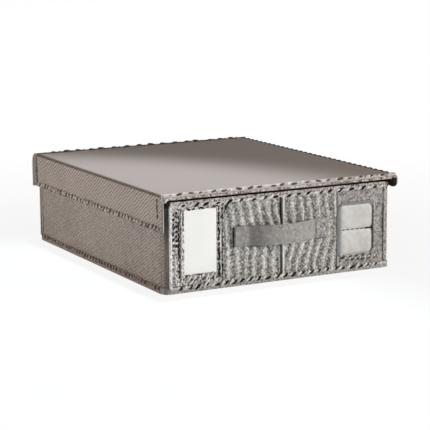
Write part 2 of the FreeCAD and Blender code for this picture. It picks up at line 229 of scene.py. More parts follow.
# %% Lay a pattern in the plane of the cloth
def cloth_plane(tree):
    """Distances in metres along and up the cloth, whichever way the panel faces, and the place itself."""
    spot = node(tree, "TexCoord")
    place = node(tree, "SeparateXYZ", Vector=spot.outputs["Object"])
    facing = node(tree, "SeparateXYZ", Vector=spot.outputs["Normal"])
    sideways = sum_of(tree, "GREATER_THAN", sum_of(tree, "ABSOLUTE", facing.outputs[0]), 0.7)
    upward = sum_of(tree, "GREATER_THAN", sum_of(tree, "ABSOLUTE", facing.outputs[2]), 0.7)
    along = choose(tree, sideways, place.outputs[0], place.outputs[1])
    up = choose(tree, upward, place.outputs[2], place.outputs[1])
    return along, up, spot.outputs["Object"]


def ridges(tree, along, up, pitch_along, pitch_up, wander=0.0):
    """Slanted lines from -1 to 1, with these distances from line to line."""
    turns = sum_of(tree, "DIVIDE", along, pitch_along)
    turns = sum_of(tree, "ADD", turns, sum_of(tree, "DIVIDE", up, pitch_up))
    angle = sum_of(tree, "MULTIPLY", turns, 2 * math.pi)
    return sum_of(tree, "SINE", sum_of(tree, "ADD", angle, wander))


def speckle(tree, place, scale, detail=2.0, roughness=0.6, stretch=None):
    """Uneven yarn from about -1 to 1."""
    if stretch:
        place = node(tree, "Mapping", Vector=place, Scale=stretch).outputs[0]
    made = node(tree, "TexNoise", Vector=place, Scale=scale, Detail=detail, Roughness=roughness)
    return sum_of(tree, "MULTIPLY_ADD", made.outputs[0], 4.0, -2.0)


def bumped(tree, surface, height, strength, distance):
    """Lifts a surface's shading by a height pattern."""
    bump = node(tree, "Bump", Height=height, Strength=strength, Distance=distance)
    fill(surface, Normal=bump.outputs[0])


def cloth(name, dark, light, weave, fleck, lean=0.5, twill=None, mottle=0.08, depth=0.25, roughness=0.9,
          sheen=0.12, edge=None, painted_rib_shade=None, painted_shade=None):
    """A fabric of two yarns. Lengths are in mm: weave and fleck are (size, strength), twill is (pitch along,
    pitch up, strength), and edge and the shade are (from, to, change) up the cloth. The shade is painted
    shade that darkens the colour, and the rib setting paints light on crests and shade in folds from the
    crest attribute."""
    made, tree, surface = shader(name)
    along, up, place = cloth_plane(tree)
    shown = sum_of(tree, "MULTIPLY_ADD", speckle(tree, place, 14), mottle, lean)
    yarn = speckle(tree, place, 1 / (fleck[0] * MM), 3.0, 0.7)
    shown = sum_of(tree, "MULTIPLY_ADD", yarn, fleck[1], shown)
    height = sum_of(tree, "MULTIPLY_ADD", yarn, 0.5, 0.0)
    if twill:
        wander = speckle(tree, place, 90, 1.0)
        wander = sum_of(tree, "MULTIPLY", wander, 1.5)
        lines = ridges(tree, along, up, twill[0] * MM, twill[1] * MM, wander)
        strength = twill[2]
        if edge:
            near = node(tree, "MapRange", Value=up, From_Min=edge[0] * MM, From_Max=edge[1] * MM,
                        To_Min=1.0, To_Max=edge[2])
            strength = sum_of(tree, "MULTIPLY", near.outputs[0], strength)
        shown = sum_of(tree, "MULTIPLY_ADD", lines, strength, shown)
        height = sum_of(tree, "ADD", lines, height)
    pitch = weave[0] * MM
    over = ridges(tree, along, up, pitch, pitch * 40)
    under = ridges(tree, along, up, pitch * 40, pitch)
    crossing = sum_of(tree, "MULTIPLY", over, under)
    shown = sum_of(tree, "MULTIPLY_ADD", crossing, weave[1], shown)
    height = sum_of(tree, "MULTIPLY_ADD", crossing, 0.7, height)
    # Painted light and shade: paler where the crest attribute is high, darker where it is low.
    if painted_rib_shade:
        fold = node(tree, "Attribute", {"attribute_name": "crest"}).outputs["Fac"]
        shown = sum_of(tree, "MULTIPLY_ADD", sum_of(tree, "SUBTRACT", fold, 0.5), painted_rib_shade, shown)
    # Painted shade: the colour darkens over a span up the cloth.
    if painted_shade:
        painted_shade_ramp = node(tree, "MapRange", Value=up, From_Min=painted_shade[0] * MM, From_Max=painted_shade[1] * MM,
                    To_Min=0.0, To_Max=painted_shade[2])
        shown = sum_of(tree, "ADD", painted_shade_ramp.outputs[0], shown)
    limited = node(tree, "Clamp", Value=shown).outputs[0]
    colour = dye(tree, limited, (*dark, 1), (*light, 1))
    fill(surface, Base_Color=colour, Roughness=roughness, Specular_IOR_Level=0.2, Sheen_Weight=sheen,
         Sheen_Roughness=0.6)
    bumped(tree, surface, height, depth, 0.0004)
    return made


# %% [markdown]
# The side panels are a taupe twill whose ridges climb towards the front. The lid's top is a fine, close
# cloth with hardly any pattern. The drawer front is a coarse tweed, nearly black and nearly white yarn
# mixed. Tapes are plain weaves, and the lining is a thin pale one.

# %% Cloths of the box
side_twill = cloth("side_twill", (0.165, 0.135, 0.115), (0.42, 0.352, 0.303), twill=(7.4, 4.2, 0.36),
                   weave=(0.8, 0.10), fleck=(3.0, 0.60), mottle=0.14, depth=0.5)
skirt_twill = cloth("skirt_twill", (0.165, 0.135, 0.115), (0.51, 0.426, 0.366), twill=(7.4, 5.0, 0.30),
                    weave=(0.8, 0.10), fleck=(3.0, 0.30), mottle=0.09, depth=0.5,
                    edge=(100, 121, 1.7))
top_cloth = cloth("lid_top_cloth", (0.248, 0.199, 0.172), (0.358, 0.296, 0.257), weave=(0.6, 0.12),
                  fleck=(4.0, 0.05), mottle=0.05, depth=0.10, sheen=0.10, roughness=0.85)
tweed = cloth("front_tweed", (0.038, 0.034, 0.031), (0.77, 0.72, 0.67), lean=0.50, fleck=(3.4, 1.25),
              weave=(2.6, 0.22), mottle=0.03, depth=0.7)
# The ribbed tweed takes painted light on rib crests and painted shade in folds from the crest attribute.
ribbed_tweed = cloth("ribbed_tweed", (0.077, 0.071, 0.063), (0.76, 0.72, 0.67), lean=0.485, fleck=(3.0, 0.70),
                     twill=(4.4, 4.4, 0.035), weave=(2.9, 0.14), mottle=0.03, depth=0.7, painted_rib_shade=0.46)
plain_tweed = cloth("window_tweed", (0.075, 0.070, 0.065), (0.52, 0.486, 0.465), lean=0.53, fleck=(3.0, 0.80),
                    weave=(2.4, 0.14), mottle=0.03, depth=0.5)
warm_tweed = cloth("top_hem_tweed", (0.078, 0.063, 0.056), (0.72, 0.655, 0.61), lean=0.47, fleck=(3.2, 1.05),
                   weave=(2.4, 0.15), mottle=0.04, depth=0.6)
# A smoother cloth painted dark as the shade under the lid, and darker still towards the top, from 54 to 88 mm
# up.
corner_cloth_painted_shade = cloth("corner_cloth_painted_shade", (0.038, 0.031, 0.027), (0.325, 0.266, 0.222), lean=0.62,
                     weave=(1.0, 0.15), fleck=(4, 0.08), depth=0.3, painted_shade=(54, 88, -0.51))
strip_tape = cloth("window_strip_tape", (0.11, 0.11, 0.106), (0.37, 0.38, 0.365), weave=(1.6, 0.2),
                   fleck=(3, 0.3), depth=0.4)
ragged_piping = cloth("ragged_piping", (0.13, 0.12, 0.11), (0.93, 0.92, 0.90), lean=0.80, weave=(2.6, 0.12),
                      fleck=(2.6, 0.75), depth=0.6)
dark_tape = cloth("dark_tape", (0.09, 0.078, 0.068), (0.22, 0.195, 0.175), weave=(0.9, 0.25),
                  fleck=(2.5, 0.12), depth=0.4)
hem_tape = cloth("hem_tape", (0.18, 0.145, 0.125), (0.48, 0.395, 0.345), weave=(1.1, 0.22),
                 fleck=(2.2, 0.22), depth=0.5)
pale_tape = cloth("pale_tape", (0.27, 0.245, 0.23), (0.62, 0.585, 0.56), weave=(1.1, 0.2),
                  fleck=(2.2, 0.18), depth=0.5)
grey_tape = cloth("grey_tape", (0.104, 0.097, 0.09), (0.59, 0.565, 0.53), weave=(2.2, 0.18),
                  fleck=(3.0, 0.80), depth=0.5)
lining_cloth = cloth("lining_cloth", (0.40, 0.375, 0.35), (0.60, 0.57, 0.54), weave=(0.9, 0.22),
                     fleck=(3, 0.10), depth=0.25, sheen=0.05)
print("cloths:", len(bpy.data.materials) - 1)

# %% [markdown]
# ## Cords, thread, webbing, board, card and film
# Cord and thread are spun from fibres that run with the strand, which a noise drawn out along the strand
# gives. Webbing is woven in a herringbone: twill that turns back every few millimetres. Board is pressed
# grey pulp. Card is nearly smooth. The two films are plastic, one clear and glossy, one milky and dull.

# %% Yarns
def yarn(name, dark, light, stretch, sheen=0.15):
    """Spun fibres, drawn out along the strand."""
    made, tree, surface = shader(name)
    place = node(tree, "TexCoord").outputs["Object"]
    fibres = speckle(tree, place, 900, 2.0, 0.6, stretch)
    shown = node(tree, "Clamp", Value=sum_of(tree, "MULTIPLY_ADD", fibres, 0.35, 0.5)).outputs[0]
    colour = dye(tree, shown, (*dark, 1), (*light, 1))
    fill(surface, Base_Color=colour, Roughness=0.85, Specular_IOR_Level=1.6 * sheen, Sheen_Weight=sheen)
    bumped(tree, surface, fibres, 0.5, 0.0003)
    return made


light_yarn = yarn("light_yarn", (0.26, 0.235, 0.22), (0.78, 0.74, 0.71), (0.35, 0.35, 0.35))
warm_yarn = yarn("warm_yarn", (0.23, 0.185, 0.158), (0.48, 0.395, 0.345), (1, 0.35, 1))
dark_yarn = yarn("dark_yarn", (0.010, 0.008, 0.007), (0.042, 0.035, 0.030), (0.5, 0.5, 1), sheen=0.0)
smoky_yarn = yarn("smoky_yarn", (0.040, 0.033, 0.028), (0.15, 0.128, 0.113), (0.4, 0.4, 0.4), sheen=0.05)
foot_yarn = yarn("foot_yarn", (0.066, 0.047, 0.038), (0.19, 0.147, 0.120), (0.4, 0.4, 0.4), sheen=0.05)
cream_yarn = yarn("cream_yarn", (0.30, 0.252, 0.216), (0.68, 0.59, 0.52), (0.4, 0.4, 0.4), sheen=0.05)
white_yarn = yarn("white_yarn", (0.50, 0.485, 0.46), (0.92, 0.91, 0.88), (0.4, 0.4, 0.4))

# %% Herringbone of the webbing
herringbone, tree, surface = shader("handle_herringbone")
along, up, place = cloth_plane(tree)
turned = sum_of(tree, "PINGPONG", up, 6.25 * MM)
lines = ridges(tree, along, turned, 3.1 * MM, 3.1 * MM)
fibres = speckle(tree, place, 420, 2.0, 0.6)
shown = sum_of(tree, "MULTIPLY_ADD", lines, 0.25, sum_of(tree, "MULTIPLY_ADD", fibres, 0.46, 0.5))
# Painted shade on the handle's left slope, which faces away from the front lamp, fading out towards the
# middle; the patch beyond it is painted a little less dark.
painted_shade_ramp = node(tree, "MapRange", Value=along, From_Min=-38 * MM, From_Max=-14 * MM, To_Min=-0.29, To_Max=0.0)
shown = sum_of(tree, "ADD", painted_shade_ramp.outputs[0], shown)
shown = sum_of(tree, "MULTIPLY_ADD", sum_of(tree, "LESS_THAN", along, -49.2 * MM), 0.15, shown)
limited = node(tree, "Clamp", Value=shown).outputs[0]
colour = dye(tree, limited, (0.124, 0.115, 0.106, 1), (0.484, 0.455, 0.42, 1))
fill(surface, Base_Color=colour, Roughness=0.85, Specular_IOR_Level=0.25, Sheen_Weight=0.1)
bumped(tree, surface, lines, 0.5, 0.0003)

# %% Board and card
pulp_board, tree, surface = shader("pulp_board")
place = node(tree, "TexCoord").outputs["Object"]
pulp = speckle(tree, place, 260, 4.0, 0.65)
shown = sum_of(tree, "MULTIPLY_ADD", pulp, 0.2, 0.5)
fill(surface, Base_Color=dye(tree, shown, (0.27, 0.24, 0.20, 1), (0.40, 0.36, 0.31, 1)), Roughness=0.95)
bumped(tree, surface, pulp, 0.3, 0.0002)

card_paper, tree, surface = shader("card_paper")
place = node(tree, "TexCoord").outputs["Object"]
pulp = speckle(tree, place, 700, 3.0, 0.6)
drift = speckle(tree, place, 25, 1.0)
shown = sum_of(tree, "MULTIPLY_ADD", pulp, 0.12, sum_of(tree, "MULTIPLY_ADD", drift, 0.25, 0.5))
fill(surface, Base_Color=dye(tree, shown, (0.823, 0.806, 0.762, 1), (0.883, 0.866, 0.822, 1)), Roughness=0.6)
bumped(tree, surface, pulp, 0.1, 0.0001)

# %% Clear and milky film
clear_film, tree, surface = shader("clear_film")
place = node(tree, "TexCoord").outputs["Object"]
slow = speckle(tree, place, 45, 2.0, 0.5)
haze = sum_of(tree, "MULTIPLY_ADD", slow, 0.03, 0.12)
fill(surface, Base_Color=(0.95, 0.96, 0.95, 1), Roughness=haze, Alpha=0.10)
bumped(tree, surface, slow, 0.15, 0.0005)

milky_film, tree, surface = shader("milky_film")
place = node(tree, "TexCoord").outputs["Object"]
grain = speckle(tree, place, 160, 3.0, 0.6)
cloud = speckle(tree, place, 40, 2.0, 0.6)
shown = sum_of(tree, "MULTIPLY_ADD", grain, 0.32, sum_of(tree, "MULTIPLY_ADD", cloud, 0.34, 0.5))
limited = node(tree, "Clamp", Value=shown).outputs[0]
colour = dye(tree, limited, (0.465, 0.452, 0.428, 1), (0.63, 0.615, 0.595, 1))
fill(surface, Base_Color=colour, Roughness=0.55, Coat_Weight=0.15, Coat_Roughness=0.3)
bumped(tree, surface, grain, 0.12, 0.0004)
print("finishes:", len(bpy.data.materials) - 1)

# %% [markdown]
# ## Workbench
# A few habits make modelling by script safe. Nothing may be selected when a piece is started, because an
# operator acts on everything that is. Faces and edges are picked by where they are and which way they
# point. And a finished piece has its place in its mesh and its origin at the world's origin, as the solids
# have.

# %% Start, pick, modify and finish a piece
def clear_bench():
    """Object mode with nothing selected."""
    if bpy.context.object and bpy.context.object.mode != "OBJECT":
        bpy.ops.object.mode_set(mode="OBJECT")
    bpy.ops.object.select_all(action="DESELECT")


def take(piece):
    """Only this piece selected and active."""
    clear_bench()
    piece.select_set(True)
    bpy.context.view_layer.objects.active = piece


def settle(piece):
    """Puts the place, turn and size of a piece into its mesh."""
    take(piece)
    bpy.ops.object.transform_apply(location=True, rotation=True, scale=True)


def pick(piece, test, kind="FACE"):
    """Edit mode with the faces, edges or points selected whose middle and direction pass the test."""
    take(piece)
    bpy.ops.object.mode_set(mode="EDIT")
    bpy.ops.mesh.select_mode(type=kind)
    bpy.ops.mesh.select_all(action="DESELECT")
    shape = bmesh.from_edit_mesh(piece.data)
    if kind == "FACE":
        for face in shape.faces:
            face.select_set(bool(test(face.calc_center_median(), face.normal)))
    elif kind == "EDGE":
        for edge in shape.edges:
            first, last = (corner.co for corner in edge.verts)
            edge.select_set(bool(test((first + last) / 2, (last - first).normalized())))
    else:
        for corner in shape.verts:
            corner.select_set(bool(test(corner.co, corner.normal)))
    shape.select_flush_mode()
    bmesh.update_edit_mesh(piece.data)


def modify(piece, kind, **settings):
    """Adds a modifier and applies it."""
    take(piece)
    modifier = piece.modifiers.new(kind.title(), kind)
    for key, value in settings.items():
        setattr(modifier, key, value)
    bpy.ops.object.modifier_apply(modifier=modifier.name)


def smooth(piece, angle=35):
    """Smooth shading, with edges sharper than the angle kept."""
    take(piece)
    bpy.ops.object.shade_smooth_by_angle(angle=math.radians(angle))


def corners(solid):
    """The low and the high corner of a solid's box, in metres."""
    low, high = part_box(solid)
    return Vector(low), Vector(high)


def block(name, low, high):
    """A plain block between two corners, to be shaped further."""
    clear_bench()
    low, high = Vector(low), Vector(high)
    bpy.ops.mesh.primitive_cube_add(size=1, location=(low + high) / 2)
    piece = bpy.context.object
    piece.name = piece.data.name = name
    piece.scale = high - low
    settle(piece)
    return piece


def sewn(piece, body, slot, finish, *nodes):
    """Gives a piece its finish, the body that it moves with and the solids that it stands for."""
    clear_bench()
    if finish:
        piece.data.materials.clear()
        piece.data.materials.append(finish)
    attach(piece, body)
    if nodes:
        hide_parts(*nodes)
    return piece


def patchwork(piece, extras, rule):
    """More finishes for a piece; the rule tells from a face's middle and direction which one it takes."""
    for extra in extras:
        piece.data.materials.append(extra)
    for face in piece.data.polygons:
        face.material_index = rule(face.center, face.normal)


# %% [markdown]
# ## Ripples
# Cloth glued to board is never quite flat. A Displace modifier with a soft cloud texture lifts and sinks it
# by a few tenths of a millimetre, little enough to leave every fit as it is. From here on, places are in
# metres as in the frame, and the lengths that a maker chooses, such as ripples, folds, cuts and stitches,
# are given in millimetres.

# %% Ripple a piece
def ripple(piece, height, size):
    """Lifts and sinks a finely cut piece by a cloud pattern of this height and size in mm."""
    name = f"cloud_{size:.0f}"
    cloud = bpy.data.textures.get(name) or bpy.data.textures.new(name, "CLOUDS")
    cloud.noise_scale = size * MM
    cloud.noise_depth = 1
    modify(piece, "DISPLACE", texture=cloud, strength=height * MM, mid_level=0.5, texture_coords="LOCAL")


# %% [markdown]
# ## Cloth panels
# A flat panel starts as a grid on the board's face, on the side that the cloth shows. Its border is drawn
# back a little, as cloth is where it turns under a tape, then the sheet is rippled and given its thickness
# outwards.

# %% Panels from a grid
TURNS = {
    "-X": (0, -90, 0),
    "+X": (0, 90, 0),
    "+Y": (-90, 0, 0),
    "-Y": (90, 0, 0),
    "+Z": (0, 0, 0),
    "-Z": (180, 0, 0),
}


def grid(name, facing, middle, width, length, columns, rows):
    """A flat grid round a middle, facing one way."""
    clear_bench()
    bpy.ops.mesh.primitive_grid_add(x_subdivisions=columns, y_subdivisions=rows, size=1, location=middle)
    piece = bpy.context.object
    piece.name = piece.data.name = name
    piece.rotation_euler = [math.radians(turn) for turn in TURNS[facing]]
    piece.scale = (width, length, 1)
    settle(piece)
    return piece


def panel(name, solid, facing, cell=5, height=0.22):
    """A rippled sheet over the box of a solid, and its flat size; cell and ripple height in mm."""
    low, high = corners(solid)
    size, middle = high - low, (low + high) / 2
    axis = "XYZ".index(facing[1])
    outward = 1 if facing[0] == "+" else -1
    across = [other for other in range(3) if other != axis]
    width, length = ((size.z, size.y), (size.x, size.z), (size.x, size.y))[axis]
    middle[axis] = low[axis] if outward > 0 else high[axis]
    columns = max(4, round(width / (cell * MM)))
    rows = max(4, round(length / (cell * MM)))
    piece = grid(name, facing, middle, width, length, columns, rows)
    ripple(piece, height, 30)
    modify(piece, "SOLIDIFY", thickness=size[axis] - 0.5 * (height * MM), offset=1.0, use_even_offset=True)

    def on_rim(place, normal):
        """A point of the outer skin that lies on the border."""
        near = [min(abs(place[i] - low[i]), abs(place[i] - high[i])) < 0.1 * MM for i in across]
        return normal[axis] * outward > 0.5 and any(near)

    pick(piece, on_rim, "VERT")
    shift = [0, 0, 0]
    shift[axis] = -0.25 * MM * outward
    bpy.ops.transform.translate(value=shift)
    bpy.ops.object.mode_set(mode="OBJECT")
    smooth(piece, 50)
    return piece, (width, length)


# %% [markdown]
# ## Tapes, linings and shaped panels
# Where a strip wraps a corner or is cut round a notch, its outline is already in the solid. A copy of that
# solid is merged and cleaned to plain faces, its folds are rounded with a small bevel, it is cut across
# every few millimetres, and then it ripples like the rest. The solid itself stays as it is.

# %% Shaped strips from a solid
def tailored(name, solid, fold, cuts, height=0.2, size=12, segments=2):
    """A soft copy of a solid, all in mm: rounded folds, cuts this far apart along X, Y and Z, and ripples."""
    clear_bench()
    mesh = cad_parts[solid].data.copy()
    mesh.materials.clear()
    piece = bpy.data.objects.new(name, mesh)
    mesh.name = name
    bpy.context.collection.objects.link(piece)
    take(piece)
    bpy.ops.object.mode_set(mode="EDIT")
    bpy.ops.mesh.select_all(action="SELECT")
    bpy.ops.mesh.remove_doubles(threshold=0.002 * MM)
    bpy.ops.mesh.dissolve_limited(angle_limit=math.radians(1))
    bpy.ops.mesh.normals_make_consistent(inside=False)
    bpy.ops.object.mode_set(mode="OBJECT")
    modify(piece, "BEVEL", width=fold * MM, segments=segments, limit_method="ANGLE",
           angle_limit=math.radians(40))
    low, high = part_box(solid)
    take(piece)
    bpy.ops.object.mode_set(mode="EDIT")
    for axis, step in enumerate(cuts):
        if step:
            count = max(1, round((high[axis] - low[axis]) / (step * MM)))
            for cut in range(1, count):
                spot = [0, 0, 0]
                facing = [0, 0, 0]
                spot[axis] = low[axis] + (high[axis] - low[axis]) * cut / count
                facing[axis] = 1
                bpy.ops.mesh.select_all(action="SELECT")
                bpy.ops.mesh.bisect(plane_co=spot, plane_no=facing)
    bpy.ops.object.mode_set(mode="OBJECT")
    ripple(piece, height, size)
    smooth(piece, 45)
    return piece


# %% [markdown]
# ## Twisted cord
# A cord is two or more strands laid round each other. One strand is a small circle that a Screw modifier
# carries round the cord's axis and along it at the same time. The lay is the distance in which it comes
# round once. Each strand starts at its own turn, and the finished strands are joined to one cord with a
# finish for each.

# %% Lay a twisted cord
def strand(name, start, end, radius, thickness, lay, turn, finish):
    """One strand between two points on the cord's axis, which runs along X, Y or Z; all in metres."""
    start, end = Vector(start), Vector(end)
    run = end - start
    reach = radius - thickness / 2
    clear_bench()
    bpy.ops.mesh.primitive_circle_add(
        vertices=8,
        radius=thickness / 2,
        rotation=(0, math.pi / 2, 0),
        location=(0, -reach * math.sin(turn), reach * math.cos(turn)),
    )
    piece = bpy.context.object
    piece.name = piece.data.name = name
    settle(piece)
    turns = run.length / abs(lay)
    steps = max(6, round(turns * 16))
    modify(piece, "SCREW", axis="X", angle=math.copysign(turns * 2 * math.pi, lay), screw_offset=run.length,
           steps=steps, render_steps=steps, use_smooth_shade=True)
    take(piece)
    bpy.ops.object.mode_set(mode="EDIT")
    bpy.ops.mesh.select_all(action="SELECT")
    bpy.ops.mesh.fill_holes(sides=0)
    bpy.ops.mesh.select_all(action="SELECT")
    bpy.ops.mesh.normals_make_consistent(inside=False)
    bpy.ops.object.mode_set(mode="OBJECT")
    piece.rotation_mode = "QUATERNION"
    piece.rotation_quaternion = Vector((1, 0, 0)).rotation_difference(run.normalized())
    piece.location = start
    settle(piece)
    piece.data.materials.append(finish)
    return piece


def join(name, pieces):
    """Several pieces made one."""
    clear_bench()
    for piece in pieces:
        piece.select_set(True)
    bpy.context.view_layer.objects.active = pieces[0]
    bpy.ops.object.join()
    joined = bpy.context.object
    joined.name = joined.data.name = name
    return joined


def cord(name, start, end, radius, lay, *strands):
    """A twisted cord; strands are (finish, thickness as a share of the radius)."""
    laid = []
    for index, (finish, share) in enumerate(strands):
        turn = 2 * math.pi * index / len(strands)
        laid.append(strand(f"{name}_{index}", start, end, radius, 2 * radius * share, lay, turn, finish))
    return join(name, laid)


# %% [markdown]
# ## Stitches
# No two stitches of a hand-sewn seam are alike, so every bead is turned, moved and sized a little by
# chance. A stitch seen from outside is a short bead of thread between two needle holes. One bead is shaped
# from a low sphere, leaned over, and an Array modifier repeats it at the stitch length. A bead has only two
# dozen faces, because a seam has a hundred of them.

# %% Sew a row of stitches
FRONT = (0, -1, 0)


def stitches(name, start, end, pitch, length, thread, lean, facing, finish, unrest=0.5):
    """A row of beads from start to end, unevenly sewn by unrest. Pitch, length and thread are in mm, and lean
    is the turn from the seam's direction in degrees."""
    start, end, facing = Vector(start), Vector(end), Vector(facing).normalized()
    pitch, length, thread, lean = pitch * MM, length * MM, thread * MM, math.radians(lean)
    run = end - start
    count = max(1, int(run.length / pitch + 0.5))
    clear_bench()
    bpy.ops.mesh.primitive_uv_sphere_add(segments=6, ring_count=4, radius=1)
    piece = bpy.context.object
    piece.name = piece.data.name = name
    piece.rotation_euler = (0, math.pi / 2, 0)
    settle(piece)
    pick(piece, lambda place, normal: abs(place.x) > 0.9, "VERT")
    bpy.ops.transform.translate(value=(0, 0, -0.6))
    bpy.ops.object.mode_set(mode="OBJECT")
    piece.scale = (length / 2, thread / 2, thread / 2)
    settle(piece)
    along = run.normalized()
    across = facing.cross(along)
    leaned = along * math.cos(lean) + across * math.sin(lean)
    turned = Matrix((leaned, facing.cross(leaned), facing)).transposed().to_4x4()
    piece.matrix_world = Matrix.Translation(start + along * pitch / 2) @ turned
    settle(piece)
    points = len(piece.data.vertices)
    modify(piece, "ARRAY", count=count, use_relative_offset=False, use_constant_offset=True,
           constant_offset_displace=along * (run.length / count))
    chance = random.Random(name)
    for bead in range(count):
        middle = start + along * (pitch / 2 + run.length / count * bead)
        turn = Matrix.Rotation(unrest * chance.uniform(-0.55, 0.55), 4, facing)
        slide = along * pitch * unrest * chance.uniform(-0.3, 0.3)
        slide += across * thread * unrest * chance.uniform(-0.35, 0.35)
        grow = 1 + unrest * chance.uniform(-0.45, 0.45)
        for point in piece.data.vertices[bead * points:(bead + 1) * points]:
            point.co = middle + slide + turn @ ((point.co - middle) * grow)
    take(piece)
    bpy.ops.object.shade_smooth()
    piece.data.materials.clear()
    piece.data.materials.append(finish)
    return piece


# %% [markdown]
# ## Whipped rope
# A rope that is sewn over an edge shows a grainy core, light loops laid slantwise over it, and dark gaps
# between them, where beads of dark yarn paint the shade.

# %% Whip a rope
def whipped(name, start, end, radius, pitch, facing, core, loop, gap):
    """A rope along X of this radius in metres, whipped at a pitch in mm. Loop and gap are (finish, length,
    thread, lean in degrees, how far it stands out), with their lengths in mm. The gap row is dark yarn,
    painted shade between the loops."""
    start, end, facing = Vector(start), Vector(end), Vector(facing).normalized()
    rope = cord(f"{name}_core", start, end, radius, 2 * (pitch * MM), (core, 1.0))
    ripple(rope, 0.7, 5)
    rows = [rope]
    for index, (finish, length, thread, lean, out) in enumerate((loop, gap)):
        inset = Vector((pitch * MM * (0.25 + 0.5 * index), 0, 0))
        outward = facing * (out * MM)
        rows.append(stitches(f"{name}_{index}", start + inset + outward, end - inset + outward, pitch, length,
                             thread, lean, facing, finish))
    return join(name, rows)


# %% [markdown]
# ## The case
# The case is the open-fronted box that stands on the table. Its four outer cloths are flat panels on
# boards, its edges are taped, and a pale lining covers the inside. The tape round the foot is whipped down
# by hand: dark and light stitches take turns along it, 4.7 mm apart, with a row of small stitches above
# them and another below.

# %% Cloth on the outside of the case
for side, facing in (("left", "-X"), ("right", "+X"), ("back", "+Y"), ("bottom", "-Z")):
    piece, flat = panel(f"case_{side}_cloth", f"case_{side}_cover", facing)
    sewn(piece, "case", "side_cloth", side_twill, f"case_{side}_cover")
    print(piece.name, len(piece.data.polygons), "faces")

# %% Tapes and lining of the case
for solid, finish, cuts in (
    ("case_bottom_binding", hem_tape, (7, 7, None)),
    ("case_mouth_binding", hem_tape, (9, None, 9)),
    ("case_rim_binding", dark_tape, (9, 9, None)),
    ("case_corner_binding_left", hem_tape, (None, None, 5)),
    ("case_corner_binding_right", dark_tape, (None, None, 5)),
):
    piece = tailored(solid.replace("binding", "tape"), solid, fold=0.22, cuts=cuts, height=0.15)
    sewn(piece, "case", "binding", finish, solid)
piece = tailored("case_inside_lining", "case_lining", fold=0.2, cuts=(12, 12, 12), height=0.25, size=40)
sewn(piece, "case", "lining_cloth", lining_cloth, "case_lining")
piece = tailored("front_rail_cloth", "front_rail_cover", fold=0.25, cuts=(8, None, None))
sewn(piece, "case", "side_cloth", side_twill, "front_rail_cover")
print("case taped and lined")

# %% Whip the foot tape
def whip_edges(edges, base, rows):
    """Rows of stitches along the left, right and back. A row gives its name, then in mm its height over the
    base, its inset at both ends and its stitches' pitch, length and thread, then lean, yarn and unrest."""
    made = []
    for side, start, end, facing in edges:
        start, end = Vector(start), Vector(end)
        along = (end - start).normalized()
        for name, height, inset, pitch, length, thread, lean, finish, unrest in rows:
            up = Vector((0, 0, base + height * MM))
            step = along * inset * MM
            made.append(stitches(f"{name}_{side}", start + step + up, end - step + up, pitch, length, thread,
                                 lean, facing, finish, unrest))
    return made


low, high = corners("case_bottom_binding")
foot_edges = (
    ("left", (low.x, high.y, 0), (low.x, low.y, 0), (-1, 0, 0)),
    ("right", (high.x, low.y, 0), (high.x, high.y, 0), (1, 0, 0)),
    ("back", (high.x, high.y, 0), (low.x, high.y, 0), (0, 1, 0)),
)
rows = whip_edges(foot_edges, 0.0, (
    ("foot", 6.6, 0, 9.4, 5.8, 2.9, 74, foot_yarn, 0.5),
    ("foot_light", 6.6, 4.7, 9.4, 5.6, 2.7, 74, warm_yarn, 0.5),
    ("foot_top", 9.6, 0, 5.6, 3.4, 1.5, 20, warm_yarn, 0.5),
    ("foot_edge", 3.0, 0, 5.6, 4.8, 1.7, 12, warm_yarn, 0.5),
))
foot_thread = join("case_foot_stitches", rows)
sewn(foot_thread, "case", "binding", None)
print(foot_thread.name, len(foot_thread.data.polygons), "faces")

# %% [markdown]
# ## The lid
# The lid lifts off. Its top is a stiff panel under a smooth, close cloth, stretched flat. A whipped rope
# runs along its front edge and another along its back, the left side has one smooth cord and the right side
# a twisted pair. Three skirts hang from it, and a taped arch frames the opening where the drawer comes out.

# %% Top cloth of the lid
piece, flat = panel("lid_top_cloth", "lid_top_cover", "+Z", cell=6, height=0.18)
sewn(piece, "lid", "top_cloth", top_cloth, "lid_top_cover")

# %% Ropes along the lid's front and back
for side, drop, thicker, pitch, facing, core, loop, gap in (
    ("front", 0.35, 0.3, 16.7, (0, -1, 0.6), cream_yarn,
     (light_yarn, 9.5, 3.4, 18, 2.3), (smoky_yarn, 9.0, 3.0, 4, 2.5)),
    ("back", 0, -0.3, 19, (0, -0.3, 1), foot_yarn,
     (warm_yarn, 8, 2.6, -14, 1.2), (smoky_yarn, 11, 3.8, -6, 1.7)),
):
    low, high = corners(f"lid_{side}_cord")
    middle = (low + high) / 2
    z = middle.z - drop * MM
    radius = (high.z - low.z) / 2 + thicker * MM
    start, end = (low.x, middle.y, z), (high.x, middle.y, z)
    piece = whipped(f"lid_{side}_rope", start, end, radius, pitch, facing, core, loop, gap)
    sewn(piece, "lid", "cord", None, f"lid_{side}_cord")
    print(piece.name, len(piece.data.polygons), "faces")

# %% Cords along the lid's sides
for side, radius, strands in (
    ("left", 1.55 * MM, [(foot_yarn, 1.0)]),
    ("right", 2.05 * MM, [(smoky_yarn, 0.60), (foot_yarn, 0.54)]),
):
    low, high = corners(f"lid_{side}_piping")
    x = ((low + high) / 2).x
    z = low.z + radius
    piece = cord(f"lid_{side}_rope", (x, low.y, z), (x, high.y, z), radius, 25.2 * MM, *strands)
    sewn(piece, "lid", "cord", None, f"lid_{side}_piping")

